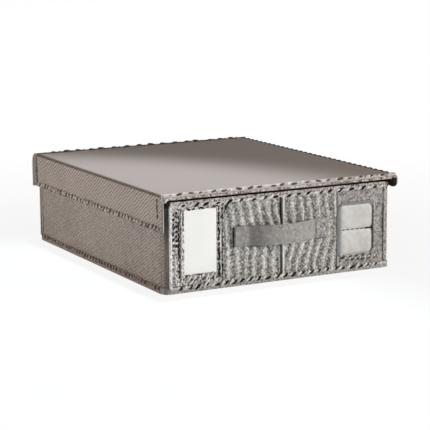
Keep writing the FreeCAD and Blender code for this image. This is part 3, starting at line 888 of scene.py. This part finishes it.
# %% Skirts and lining of the lid
for side, facing in (("left", "-X"), ("back", "+Y")):
    piece, flat = panel(f"lid_{side}_cloth", f"lid_{side}_cover", facing)
    sewn(piece, "lid", "side_cloth", skirt_twill, f"lid_{side}_cover")
piece = tailored("lid_right_cloth", "lid_right_cover", fold=0.25, cuts=(None, 6, 6), height=0.2, size=30)
sewn(piece, "lid", "side_cloth", skirt_twill, "lid_right_cover")
piece = tailored("lid_inside_lining", "lid_lining", fold=0.2, cuts=(14, 14, 14), height=0.2, size=40)
sewn(piece, "lid", "lining_cloth", lining_cloth, "lid_lining")

# %% Tapes of the lid
tapes = {}
for solid, name, finish, cuts, fold in (
    ("lid_left_hem", "lid_left_hem_tape", hem_tape, (None, 6, None), 0.25),
    ("lid_right_hem", "lid_right_hem_tape", hem_tape, (None, 6, None), 0.25),
    ("lid_back_hem", "lid_back_hem_tape", hem_tape, (6, None, None), 0.25),
    ("lid_front_arch", "lid_front_arch_tape", warm_tweed, (6, None, 6), 0.7),
    ("lid_notch_binding", "lid_notch_tape", dark_tape, (None, 6, 6), 0.2),
    ("lid_left_corner_tab", "lid_left_tab_tape", hem_tape, (None, None, 5), 0.8),
    ("lid_right_corner_tab", "lid_right_tab_tape", hem_tape, (None, None, 5), 0.8),
):
    tapes[solid] = tailored(name, solid, fold=fold, cuts=cuts, height=0.15, segments=3)
    sewn(tapes[solid], "lid", "binding", finish, solid)

# %% [markdown]
# The tabs at the lid's corners are pulled up under the rope and pressed flatter towards their tops. The
# arch is raised a little over the drawer and its legs are pressed thin. Its back and under faces and the
# legs' inner sides are near-black yarn as painted shade, and the legs' outer sides take dark tape.

# %% Press the corner tabs
TAB_BASE = 167.2 * MM
for side in ("left", "right"):
    for point in tapes[f"lid_{side}_corner_tab"].data.vertices:
        rise = min(1, max(0, (point.co.z - 112 * MM) / (8.8 * MM)))
        stands_out = (abs(point.co.x) - TAB_BASE) * (0.84 - 0.34 * rise * rise)
        point.co.z += 3.6 * MM * rise
        point.co.x = math.copysign(TAB_BASE + stands_out, point.co.x)

# %% Trim the arch
ARCH_SIDE = 168 * MM
OPENING_SIDE = 162.5 * MM
OPENING_TOP = 118.4 * MM
LEG_TOP = 115 * MM
arch_tape = tapes["lid_front_arch"]
for point in arch_tape.data.vertices:
    if abs(point.co.x) < OPENING_SIDE and point.co.z < OPENING_TOP:
        point.co.z += 0.6 * MM
    if point.co.z < LEG_TOP:
        point.co.x = math.copysign(ARCH_SIDE - 0.36 * (ARCH_SIDE - abs(point.co.x)), point.co.x)


def arch_finish_and_painted_shade(place, normal):
    """Tweed above, pale tape on the legs, near-black yarn as painted shade on the back and under faces and
    the legs' inner sides, and dark tape on the legs' outer sides.
    """
    leg = abs(place.x) > 162 * MM and place.z < 117 * MM
    inwards = normal.x * place.x < -0.6 * abs(place.x)
    outwards = normal.x * place.x > 0.6 * abs(place.x)
    if normal.y > 0.5 or normal.z < -0.5 or leg and inwards:
        return 2
    if leg and outwards:
        return 3
    return 1 if leg else 0


patchwork(arch_tape, (pale_tape, dark_yarn, dark_tape), arch_finish_and_painted_shade)

# %% Tongue at the right corner
def tongue_finish_and_painted_shade(place, normal):
    """Hem tape at the top; painted shade elsewhere: near-black yarn inside and dark tape outside."""
    if place.z > 119.6 * MM:
        return 2
    return 1 if place.x < 167.6 * MM else 0


# The tongue stands for the right skirt's front end in shadow: its dark tape and near-black yarn are painted
# shade.
tongue_low = (160.6 * MM, -202.2 * MM, 106.8 * MM)
tongue_high = (172.2 * MM, -190 * MM, 123.4 * MM)
tongue = block("lid_corner_tongue", tongue_low, tongue_high)
modify(tongue, "BEVEL", width=5.7 * MM, segments=6)
smooth(tongue, 60)
sewn(tongue, "lid", "binding", dark_tape)
patchwork(tongue, (dark_yarn, hem_tape), tongue_finish_and_painted_shade)
print("lid taped")

# %% Whip the skirts' hems
low, high = corners("lid_left_hem")
right_low, right_high = corners("lid_right_hem")
back_low, back_high = corners("lid_back_hem")
hem_edges = (
    ("left", (low.x, high.y, 0), (low.x, low.y, 0), (-1, 0, 0)),
    ("right", (right_high.x, right_low.y, 0), (right_high.x, right_high.y, 0), (1, 0, 0)),
    ("back", (back_high.x, back_high.y, 0), (back_low.x, back_high.y, 0), (0, 1, 0)),
)
rows = whip_edges(hem_edges, high.z, (
    ("hem", -2.4, 0, 9.4, 6.2, 2.9, 66, foot_yarn, 0.7),
    ("hem_light", -2.4, 4.7, 9.4, 6.6, 3.6, 66, cream_yarn, 0.7),
    ("hem_edge", -5.2, 0, 7.2, 4.4, 1.7, -20, smoky_yarn, 0.8),
))
# The first row marks the skirt's front seam; the second is smoky yarn drawn where the back corner tab parts
# from the skirt, painted shade in that slot.
for name, x, y_foot, y_top, z_foot, z_top, thread in (
    ("skirt_end", low.x, -186, -185, 95, 119, 1.6),
    ("tab_slot", low.x + 0.5 * MM, 199.4, 199.4, 80, 107, 2.2),
):
    foot, top = (x, y_foot * MM, z_foot * MM), (x, y_top * MM, z_top * MM)
    rows.append(stitches(name, foot, top, 5.4, 7.0, thread, 0, (-1, 0, 0), smoky_yarn))
hem_thread = join("lid_hem_stitches", rows)
sewn(hem_thread, "lid", "binding", None)
print(hem_thread.name, len(hem_thread.data.polygons), "faces")

# %% [markdown]
# ## The drawer
# Behind its front the drawer is a plain tray of cloth, board and lining, with a tape over the rim.

# %% Tray of the drawer
for solid, name, slot, finish, cuts in (
    ("drawer_cover", "drawer_outside_cloth", "side_cloth", side_twill, (14, 14, 14)),
    ("drawer_lining", "drawer_inside_lining", "lining_cloth", lining_cloth, (14, 14, 14)),
    ("drawer_front_lining", "drawer_front_back_lining", "lining_cloth", lining_cloth, (12, None, 12)),
    ("drawer_rim_binding", "drawer_rim_tape", "binding", hem_tape, (9, 9, None)),
):
    piece = tailored(name, solid, fold=0.2, cuts=cuts, height=0.2, size=40)
    sewn(piece, "drawer", slot, finish, solid)
print("tray made")

# %% [markdown]
# ## Cloth of the drawer front
# The face is tweed. Its left end is wrapped in a smoother cloth painted dark as the shade under the lid,
# and round the window the tweed is plainer, so the faces there take other finishes. The window is already
# cut in the solid's outline.

# %% Face of the drawer front
face_cloth = tailored("front_face_cloth", "drawer_front_cover", fold=0.3, cuts=(6, None, 6), height=0.3,
                      size=14)
sewn(face_cloth, "drawer", "front_cloth", tweed, "drawer_front_cover")
low, high = corners("drawer_front_cover")
front_y = low.y
WRAPPED_END = 8.2 * MM - high.x
WINDOW_SECTION = 83 * MM


def face_finish(place, normal):
    """Twill on the left edge, cloth painted dark as shade beside it, plain tweed round the window and tweed
    elsewhere.
    """
    if normal.x < -0.8:
        return 3
    if place.x < WRAPPED_END:
        return 1
    return 2 if place.x > WINDOW_SECTION else 0


patchwork(face_cloth, (corner_cloth_painted_shade, plain_tweed, side_twill), face_finish)
print("front cloth at y", round(front_y / MM, 2), "mm")

# %% [markdown]
# ## The gathered panels
# Between the label and the window the tweed is gathered: more cloth than the panel is wide, drawn up into
# upright ribs and sewn down at the top, the bottom and the middle seam. The ribs aren't rulers. They lean,
# wander and swell, and they are pressed flat where the handle's ends are sewn over them. Each half is a
# fine grid whose points are moved forward by a rib pattern, and every point keeps a shade value in an
# attribute for the colour: painted light on the crests, painted shade in the folds, towards the tapes and
# the seam and where the handle presses, and a painted shadow under the handle.

# %% The rib pattern
def between(value, low, high):
    """0 below low, 1 above high, and a soft step from one to the other."""
    share = min(1, max(0, (value - low) / (high - low)))
    return share * share * (3 - 2 * share)


panel_low, panel_high = corners("front_gathered_panel")
strap_low, strap_high = corners("handle_strap")
tab_low, tab_high = corners("handle_end_tabs")
GATHER_SWELL = 2.8 * MM
RIB_PITCH = 12.9 * MM
SEAM_SIDE = 0.8 * MM


def rib_height(x, z):
    """Rib height from 0 to 1 at a place on the panel."""
    fall = (panel_high.z - z) / (panel_high.z - panel_low.z)
    if x < 0:
        drift = 13 * MM * between(fall, -0.2, 0.6) - 1 * MM * between(fall, 0.5, 1)
    else:
        drift = 5 * MM * between(fall, 0, 0.5) - 9 * MM * between(fall, 0.5, 1)
    wander = noise.noise(Vector((x * 40, 3.1, z * 26))) * 3.4 * MM
    turn = (x - drift + wander) / RIB_PITCH
    crest = (0.5 + 0.5 * math.cos(2 * math.pi * turn)) ** 1.05
    swell = 0.85 + 0.40 * noise.noise(Vector((x * 60, 9.7, z * 45)))
    fine = 0.16 * noise.noise(Vector((x * 300, 5.5, z * 260)))
    return max(0.0, crest * swell + fine)


# %% Gather one half
def pressed_by_handle(x, z):
    """True where an end of the handle is sewn over the ribs."""
    beyond = 2 if x < 0 else 14
    level = tab_low.z - 2 * MM < z < tab_high.z + 2 * MM
    return level and tab_high.x - 21 * MM < abs(x) < tab_high.x + beyond * MM


def gather(name, x_low, x_high):
    """One half of the gathered cloth."""
    middle = ((x_low + x_high) / 2, panel_high.y - 0.25 * MM, (panel_low.z + panel_high.z) / 2)
    piece = grid(name, "-Y", middle, x_high - x_low, panel_high.z - panel_low.z, 112, 84)
    crest = piece.data.attributes.new("crest", "FLOAT", "POINT")
    for point in piece.data.vertices:
        x, z = point.co.x, point.co.z
        rise = rib_height(x, z)
        ends = between(z, panel_low.z - 1 * MM, panel_low.z + 5 * MM)
        ends *= between(-z, -panel_high.z - 1 * MM, -panel_high.z + 5 * MM)
        seam = between(abs(x), SEAM_SIDE, 3.5 * MM) if x < 0 else 1.0
        side = between(panel_high.x - abs(x), 0, 3 * MM)
        pressed = 0.45 if pressed_by_handle(x, z) else 1.0
        # Painted light and shade for the colour: lower in the folds, near the tapes, the sides and the left
        # seam, and where the handle presses.
        shade = rise * seam * (0.35 + 0.65 * ends) * (0.2 + 0.8 * side) * (0.4 + 0.6 * pressed)
        # Painted shadow under the left half of the handle.
        if strap_low.z - 5 * MM < z < strap_low.z and abs(x + 23 * MM) < 26 * MM:
            shade -= 0.75 * between(z, strap_low.z - 5 * MM, strap_low.z - 1 * MM)
        crest.data[point.index].value = shade
        lift = rise * pressed * (0.35 + 0.65 * ends) * (0.3 + 0.7 * seam) * (0.4 + 0.6 * side)
        point.co.y -= GATHER_SWELL * lift
    modify(piece, "SOLIDIFY", thickness=0.7 * MM, offset=-1.0)
    smooth(piece, 60)
    return piece


halves = [
    gather("gathered_cloth_left", panel_low.x, -SEAM_SIDE),
    gather("gathered_cloth_right", SEAM_SIDE, panel_high.x),
]
for piece in halves:
    sewn(piece, "drawer", "front_cloth", ribbed_tweed, "front_gathered_panel")
    print(piece.name, "reaches y", round(min(p.co.y for p in piece.data.vertices) / MM, 2), "mm")

# %% [markdown]
# ## Pipings and whipped ropes of the front
# Four upright pipings edge the gathered cloth and the ends, and a fifth runs beside the middle seam with
# its shadow, painted as a strip of near-black yarn. A strip of folded cloth with a cord in it is a rounded
# bar: it starts as a block, its front edges are bevelled round, and it is cut across and rippled. Along the
# top and bottom tapes a rope is whipped on, light loops and dark gaps of painted shade over a light core,
# which gives the row of slanted dashes.

# %% Upright pipings
def upright(name, x, width, out, finish, solid):
    """A rounded upright strip between the two tapes; width and how far it stands out in mm."""
    width, front = width * MM, front_y - out * MM
    piece = block(name, (x - width / 2, front, panel_low.z - 1 * MM),
                  (x + width / 2, panel_high.y + 0.4 * MM, panel_high.z + 1 * MM))
    pick(piece, lambda place, run: abs(run.z) > 0.9 and place.y < front + 0.1 * MM, "EDGE")
    bpy.ops.mesh.bevel(offset=width * 0.42, segments=4, affect="EDGES")
    for cut in range(1, 24):
        bpy.ops.mesh.select_all(action="SELECT")
        height = panel_low.z + (panel_high.z - panel_low.z) * cut / 24
        bpy.ops.mesh.bisect(plane_co=(0, 0, height), plane_no=(0, 0, 1))
    bpy.ops.object.mode_set(mode="OBJECT")
    ripple(piece, 0.5, 9)
    smooth(piece, 60)
    sewn(piece, "drawer", "cord", finish, solid)


edge_x = corners("front_edge_piping")[1].x
section_x = corners("section_piping")[1].x - 0.5 * MM
for name, x, width, out, finish, solid in (
    ("edge_piping_left", -edge_x, 3.2, 2.4, ragged_piping, "front_edge_piping"),
    ("edge_piping_right", edge_x - 1.0 * MM, 2.4, 1.2, plain_tweed, "front_edge_piping"),
    ("section_piping_left", -section_x, 1.5, 1.7, tweed, "section_piping"),
    ("section_piping_right", section_x, 1.5, 1.7, strip_tape, "section_piping"),
    ("fold_piping", 2.2 * MM, 2.9, 3.0, white_yarn, "front_fold_seam"),
    ("fold_seam_shadow", -1.1 * MM, 2.2, 1.9, dark_yarn, "front_fold_seam"),
):
    upright(name, x, width, out, finish, solid)

# %% Tapes along the front's top and bottom
def tape_finish_and_painted_shade(place, normal):
    """Painted shade: dark yarn on top of the upper tape, under the lid's lip, and at its left end."""
    upper = place.z > 50 * MM
    return 1 if upper and (normal.z > 0.5 or place.x < -156 * MM) else 0


for solid, name, finish in (
    ("front_bottom_binding", "front_bottom_tape", grey_tape),
    ("front_top_binding", "front_top_tape", warm_tweed),
):
    piece = tailored(name, solid, fold=0.5, cuts=(5, None, None), height=0.35, size=9, segments=3)
    sewn(piece, "drawer", "binding", finish, solid)
    patchwork(piece, (dark_yarn,), tape_finish_and_painted_shade)

# %% Ropes along the front's top and bottom
tape_low, tape_high = corners("front_bottom_binding")
y = tape_low.y + 0.7 * MM
reach = tape_high.x - 7.5 * MM
for name, z, pitch, lean in (
    ("front_bottom_rope", panel_low.z - 1.2 * MM, 12.4, 33),
    ("front_top_rope", panel_high.z + 1.2 * MM, 16.4, 21),
):
    piece = whipped(name, (-reach, y, z), (reach, y, z), 1.6 * MM, pitch, FRONT, light_yarn,
                    (white_yarn, 9.4, 3.2, lean + 8, 1.1), (dark_yarn, 8.2, 3.2, lean, 1.3))
    sewn(piece, "drawer", "cord", None)
    print(name, len(piece.data.polygons), "faces")

# %% [markdown]
# ## Label pocket
# A blank card stands in a clear sleeve, framed by four strips of tape that are sewn to the cloth. The card
# bows a little towards the viewer, and the sleeve lies close over it. Dark braided stitches run down beside
# the pocket, and light and dark ones are sewn over its tapes.

# %% Card and sleeve
card_low, card_high = corners("label_card")
card_width = card_high.x - card_low.x
for name, solid, depth, thickness, finish, slot in (
    ("label_blank_card", "label_card", 0.0, 0.35, card_paper, "card"),
    ("label_clear_sleeve", "label_sleeve", 0.45, 0.15, clear_film, "clear_film"),
):
    y = card_high.y - 0.05 * MM - depth * MM
    middle = ((card_low.x + card_high.x) / 2, y, (card_low.z + card_high.z) / 2)
    piece = grid(name, "-Y", middle, card_width, card_high.z - card_low.z, 16, 24)
    for point in piece.data.vertices:
        across = (point.co.x - card_low.x) / card_width
        point.co.y -= 0.25 * MM * math.sin(math.pi * across)
    modify(piece, "SOLIDIFY", thickness=thickness * MM, offset=1.0)
    smooth(piece, 40)
    sewn(piece, "drawer", slot, finish, solid)

# %% Border of the pocket
piece = tailored("label_border_tape", "label_pocket_border", fold=0.3, cuts=(4, None, 4), height=0.3, size=6)
sewn(piece, "drawer", "binding", tweed, "label_pocket_border")
border_low, border_high = corners("label_pocket_border")
outside, left, right = border_low.x, card_low.x, card_high.x

# %% Upright stitches of the pocket
rows = []
for name, edge, shift, z_from, z_to, pitch, length, thread, lean, finish in (
    ("outer_left", outside, -2.6, 18, 97, 6.4, 7.6, 2.2, 4, dark_yarn),
    ("light_left", outside, 0.6, 14, 103, 6.9, 7.2, 2.0, -7, white_yarn),
    ("inner_left", left, -1.4, 76, 102, 6.0, 5.4, 1.7, 6, smoky_yarn),
    ("inner_right", right, 3.0, 16, 104, 6.2, 7.4, 2.5, -5, dark_yarn),
    ("light_right", right, 5.6, 70, 96, 6.4, 8.0, 1.7, 0, white_yarn),
    ("light_right_foot", right, 5.6, 20, 38, 6.4, 8.0, 1.7, 0, white_yarn),
    ("outer_right", right, 8.0, 18, 40, 6.4, 7.4, 1.7, 6, dark_yarn),
    ("light_edge", outside, -7.6, 12, 50, 6.3, 6.6, 2.2, 12, white_yarn),
    ("light_edge_low", outside, -4.0, 12, 44, 7.3, 5.0, 1.8, -20, white_yarn),
    ("braid_one", outside, -5.6, 58, 103, 5.4, 4.2, 2.2, 38, dark_yarn),
    ("braid_two", outside, -9.6, 52, 103, 6.1, 4.0, 2.0, -34, dark_yarn),
):
    x = edge + shift * MM
    y = border_low.y if border_low.x < x < border_high.x else front_y - 0.4 * MM
    start, end = (x, y, z_from * MM), (x, y, z_to * MM)
    rows.append(stitches(f"row_{name}", start, end, pitch, length, thread, lean, FRONT, finish))

# %% Level stitches of the pocket
for name, inset, edge, shift, length, thread, lean, finish in (
    ("top", 0, card_high.z, 1.7, 5.6, 2.1, -8, dark_yarn),
    ("foot", 0, card_low.z, -1.9, 5.0, 1.8, 20, smoky_yarn),
    ("foot_light", 1, card_low.z, -5.8, 8.4, 3.4, 56, white_yarn),
    ("foot_low", 5.2, card_low.z, -7.6, 4.2, 1.9, 62, smoky_yarn),
    ("foot_loops", 3, card_low.z, -10.2, 6.0, 2.2, 30, white_yarn),
):
    z = edge + shift * MM
    start, end = (card_low.x + inset * MM, border_low.y, z), (card_high.x, border_low.y, z)
    rows.append(stitches(f"row_{name}", start, end, 8.8, length, thread, lean, FRONT, finish, unrest=0.8))
start = (-86 * MM, front_y - 1.2 * MM, 90 * MM)
end = (-75 * MM, front_y - 1.6 * MM, 107 * MM)
rows.append(stitches("row_corner", start, end, 5.2, 6.4, 1.6, 0, FRONT, dark_yarn))
sewn(join("label_border_stitches", rows), "drawer", "binding", None)
print("label pocket made")

# %% [markdown]
# ## Window
# A milky film behind a rounded opening, in two halves that swell forward like small pillows, with a sewn
# line between them. Each half is a grid whose points rise by how far they are from its border. A taped
# frame with rows of stitches holds it.

# %% Swell the pane
pane_low, pane_high = corners("window_pane")
frame_low, frame_high = corners("window_frame")
opening_low = frame_low + Vector((4 * MM, 0, 4 * MM))
opening_high = frame_high - Vector((4 * MM, 0, 4 * MM))
seam_z = (opening_low.z + opening_high.z) / 2
CORNER_RADIUS = 9 * MM
SWELL_BORDER = 6 * MM


def puff(x, z):
    """How far a half of the pane is swollen at a place, from 0 at its rounded border to 1."""
    bottom, top = (opening_low.z, seam_z) if z < seam_z else (seam_z, opening_high.z)
    to_right, to_level = opening_high.x - x, min(z - bottom, top - z)
    gap = min(x - opening_low.x, to_right, z - bottom, top - z)
    corner = Vector((max(0, CORNER_RADIUS - to_right), max(0, CORNER_RADIUS - to_level)))
    if corner.x > 0 and corner.y > 0:
        gap = min(gap, CORNER_RADIUS - corner.length)
    share = min(1, gap / SWELL_BORDER)
    return math.sqrt(max(0, share * (2 - share)))


middle = ((pane_low.x + pane_high.x) / 2, pane_high.y - 0.6 * MM, (pane_low.z + pane_high.z) / 2)
pane = grid("window_milky_pane", "-Y", middle, pane_high.x - pane_low.x, pane_high.z - pane_low.z, 56, 80)
for point in pane.data.vertices:
    x, z = point.co.x, point.co.z
    wave = 0.12 * noise.noise(Vector((x * 90, 2.2, z * 120)))
    point.co.y -= 1.7 * MM * puff(x, z) * (1 + wave)
modify(pane, "SOLIDIFY", thickness=0.4 * MM, offset=-1.0)
smooth(pane, 60)
sewn(pane, "drawer", "milky_film", milky_film, "window_pane")

# %% Frame of the window
def frame_finish_and_painted_shade(place, normal):
    """Darker strip tape on the left and at the top as painted shade inside the frame, grey tape on the rest.
    """
    return 1 if place.x < opening_low.x + 0.5 * MM or place.z > opening_high.z - 0.5 * MM else 0


piece = tailored("window_frame_tape", "window_frame", fold=0.4, cuts=(4, None, 4), height=0.3, size=8)
sewn(piece, "drawer", "binding", grey_tape, "window_frame")
patchwork(piece, (strip_tape,), frame_finish_and_painted_shade)

# %% Seam and upright stitches of the window
rows = []
seam_y = front_y + 0.2 * MM
end_y = front_y - 0.3 * MM
for name, x_from, x_to, y, pitch, length, thread in (
    ("middle", opening_low.x + 1 * MM, opening_high.x + 0.5 * MM, seam_y, 7.4, 4.4, 1.1),
    ("seam_end", opening_high.x - 11 * MM, opening_high.x, end_y, 5.5, 6.6, 2.0),
):
    start, end = (x_from, y, seam_z), (x_to, y, seam_z)
    rows.append(stitches(f"row_{name}", start, end, pitch, length, thread, 0, FRONT, dark_yarn, 0.2))
left, right = frame_low.x - 0.6 * MM, opening_high.x + 0.6 * MM
END_LEAN = math.degrees(3)
for name, x, y, z_from, z_to, pitch, length, thread, lean in (
    ("left", left, front_y - 0.2 * MM, frame_low.z - 2 * MM, frame_high.z + 2 * MM, 5.6, 6.6, 1.7, 0),
    ("right", right, frame_low.y, opening_low.z + 5 * MM, opening_high.z - 3 * MM, 5.6, 6.4, 1.4, 0),
    ("end", edge_x - 2.4 * MM, front_y - 1 * MM, 50 * MM, 86 * MM, 6.0, 7.0, 1.5, END_LEAN),
):
    start, end = (x, y, z_from), (x, y, z_to)
    rows.append(stitches(f"row_{name}", start, end, pitch, length, thread, lean, FRONT, smoky_yarn))

# %% Level stitches of the window
for name, from_left, from_right, y, height, pitch, length, thread, lean, finish in (
    ("foot", 4, -3, frame_low.y, 1.4, 9.4, 6.8, 3.4, 24, smoky_yarn),
    ("foot_light", 2, 2, front_y - 0.2 * MM, -1.6, 7.0, 6.0, 2.2, 36, white_yarn),
    ("foot_low", 2, 4, front_y, -3.6, 8.0, 6.2, 2.8, 18, smoky_yarn),
):
    z = frame_low.z + height * MM
    start, end = (frame_low.x + from_left * MM, y, z), (frame_high.x + from_right * MM, y, z)
    rows.append(stitches(f"row_{name}", start, end, pitch, length, thread, lean, FRONT, finish))
sewn(join("window_stitches", rows), "drawer", "binding", None)
print("window made")

# %% [markdown]
# ## Handle
# A strip of herringbone webbing is sewn down at both ends and stands out in between in a shallow arch, just
# enough for fingers. It is a grid, bowed forward by the same arcs as the solid, with a small sag, and then
# thickened. Two short patches are sewn over its ends, the left one of webbing and the right one of tweed.

# %% Bow the webbing
HALF_SPAN = 49 * MM
BOW = 12 * MM
BEND = 12 * MM
mid_z = (strap_low.z + strap_high.z) / 2
turn = 2 * math.atan2(BOW, HALF_SPAN)
arch = HALF_SPAN / math.sin(turn) - BEND


def bowed(x):
    """How far the webbing stands out this far from its middle: an arch that bends back at its ends."""
    if x < arch * math.sin(turn):
        return BOW - arch + math.sqrt(arch * arch - x * x)
    if x < HALF_SPAN:
        return BEND - math.sqrt(BEND * BEND - (HALF_SPAN - x) ** 2)
    return 0


strap = grid("handle_webbing", "-Y", (0, strap_high.y - 0.1 * MM, mid_z), strap_high.x - strap_low.x,
             strap_high.z - strap_low.z, 90, 12)
for point in strap.data.vertices:
    forward = bowed(abs(point.co.x))
    across = (point.co.z - mid_z) / (strap_high.z - mid_z)
    droop = forward / BOW
    point.co.y -= forward * (1 - 0.03 * across) - 0.5 * MM * droop * across * across
    point.co.z -= 0.5 * MM * droop
modify(strap, "SOLIDIFY", thickness=1.4 * MM, offset=1.0)
modify(strap, "BEVEL", width=0.45 * MM, segments=2, limit_method="ANGLE", angle_limit=math.radians(60))
ripple(strap, 0.35, 16)
smooth(strap, 60)
sewn(strap, "drawer", "webbing", herringbone, "handle_strap")
print("handle reaches y", round(min(p.co.y for p in strap.data.vertices) / MM, 2), "mm")

# %% Patches over its ends
patches = []
for side in (-1, 1):
    inner, outer = sorted((side * HALF_SPAN, side * tab_high.x))
    front = tab_low.y + (0.8 * MM if side > 0 else 0)
    patch = block(f"patch_{side}", (inner, front, tab_low.z), (outer, tab_high.y + 0.1 * MM, tab_high.z))
    pick(patch, lambda place, normal: normal.y < -0.9)
    bpy.ops.mesh.inset(thickness=1.6 * MM, depth=0.2 * MM)
    bpy.ops.mesh.inset(thickness=0.8 * MM, depth=-0.15 * MM)
    bpy.ops.mesh.subdivide(number_cuts=5)
    bpy.ops.object.mode_set(mode="OBJECT")
    modify(patch, "BEVEL", width=0.3 * MM, segments=2, limit_method="ANGLE", angle_limit=math.radians(50))
    patches.append(patch)
patches = join("handle_end_patches", patches)
smooth(patches, 40)
sewn(patches, "drawer", "webbing", herringbone, "handle_end_tabs")
patchwork(patches, (plain_tweed,), lambda place, normal: 1 if place.x > 0 else 0)

# %% Sew down the patches
rows = []
for side in (-1, 1):
    inner, outer = sorted((side * (HALF_SPAN + 1.4 * MM), side * (tab_high.x - 1.4 * MM)))
    y = tab_low.y + 0.05 * MM
    bottom, top = tab_low.z + 1.5 * MM, tab_high.z - 1.5 * MM
    for name, start, end in (
        ("a", (inner, y, bottom), (outer, y, bottom)),
        ("b", (inner, y, top), (outer, y, top)),
        ("c", (inner, y, bottom), (inner, y, top)),
        ("d", (outer, y, bottom), (outer, y, top)),
    ):
        rows.append(stitches(f"box_{side}_{name}", start, end, 2.6, 1.9, 0.6, 0, FRONT, light_yarn))
    if side < 0:
        x, y = -tab_high.x - 1.6 * MM, front_y - 2.4 * MM
        start, end = (x, y, tab_low.z - 1 * MM), (x, y, tab_high.z)
        rows.append(stitches("tab_shadow", start, end, 4.2, 5.2, 1.8, 0, FRONT, dark_yarn, 0.3))
    else:
        y, z = front_y - 3.0 * MM, tab_low.z - 0.6 * MM
        start, end = (HALF_SPAN, y, z), (HALF_SPAN + 10 * MM, y, z)
        rows.append(stitches("tab_foot", start, end, 5.0, 5.4, 1.6, 0, FRONT, smoky_yarn, 0.3))
sewn(join("handle_stitches", rows), "drawer", "webbing", None)
print("handle sewn")

# %% [markdown]
# ## Boards
# The boards inside keep their solids. They only need the look of pressed grey pulp.

# %% Finish the boards
left_alone = [name for name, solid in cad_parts.items() if not solid.hide_render]
for name in left_alone:
    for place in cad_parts[name].material_slots:
        place.material = pulp_board
print("solids still shown:", ", ".join(left_alone))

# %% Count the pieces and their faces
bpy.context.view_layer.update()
shown = [piece for piece in bpy.context.scene.objects if piece.type == "MESH" and not piece.hide_render]
print("pieces:", len(shown), "faces:", sum(len(piece.data.polygons) for piece in shown))
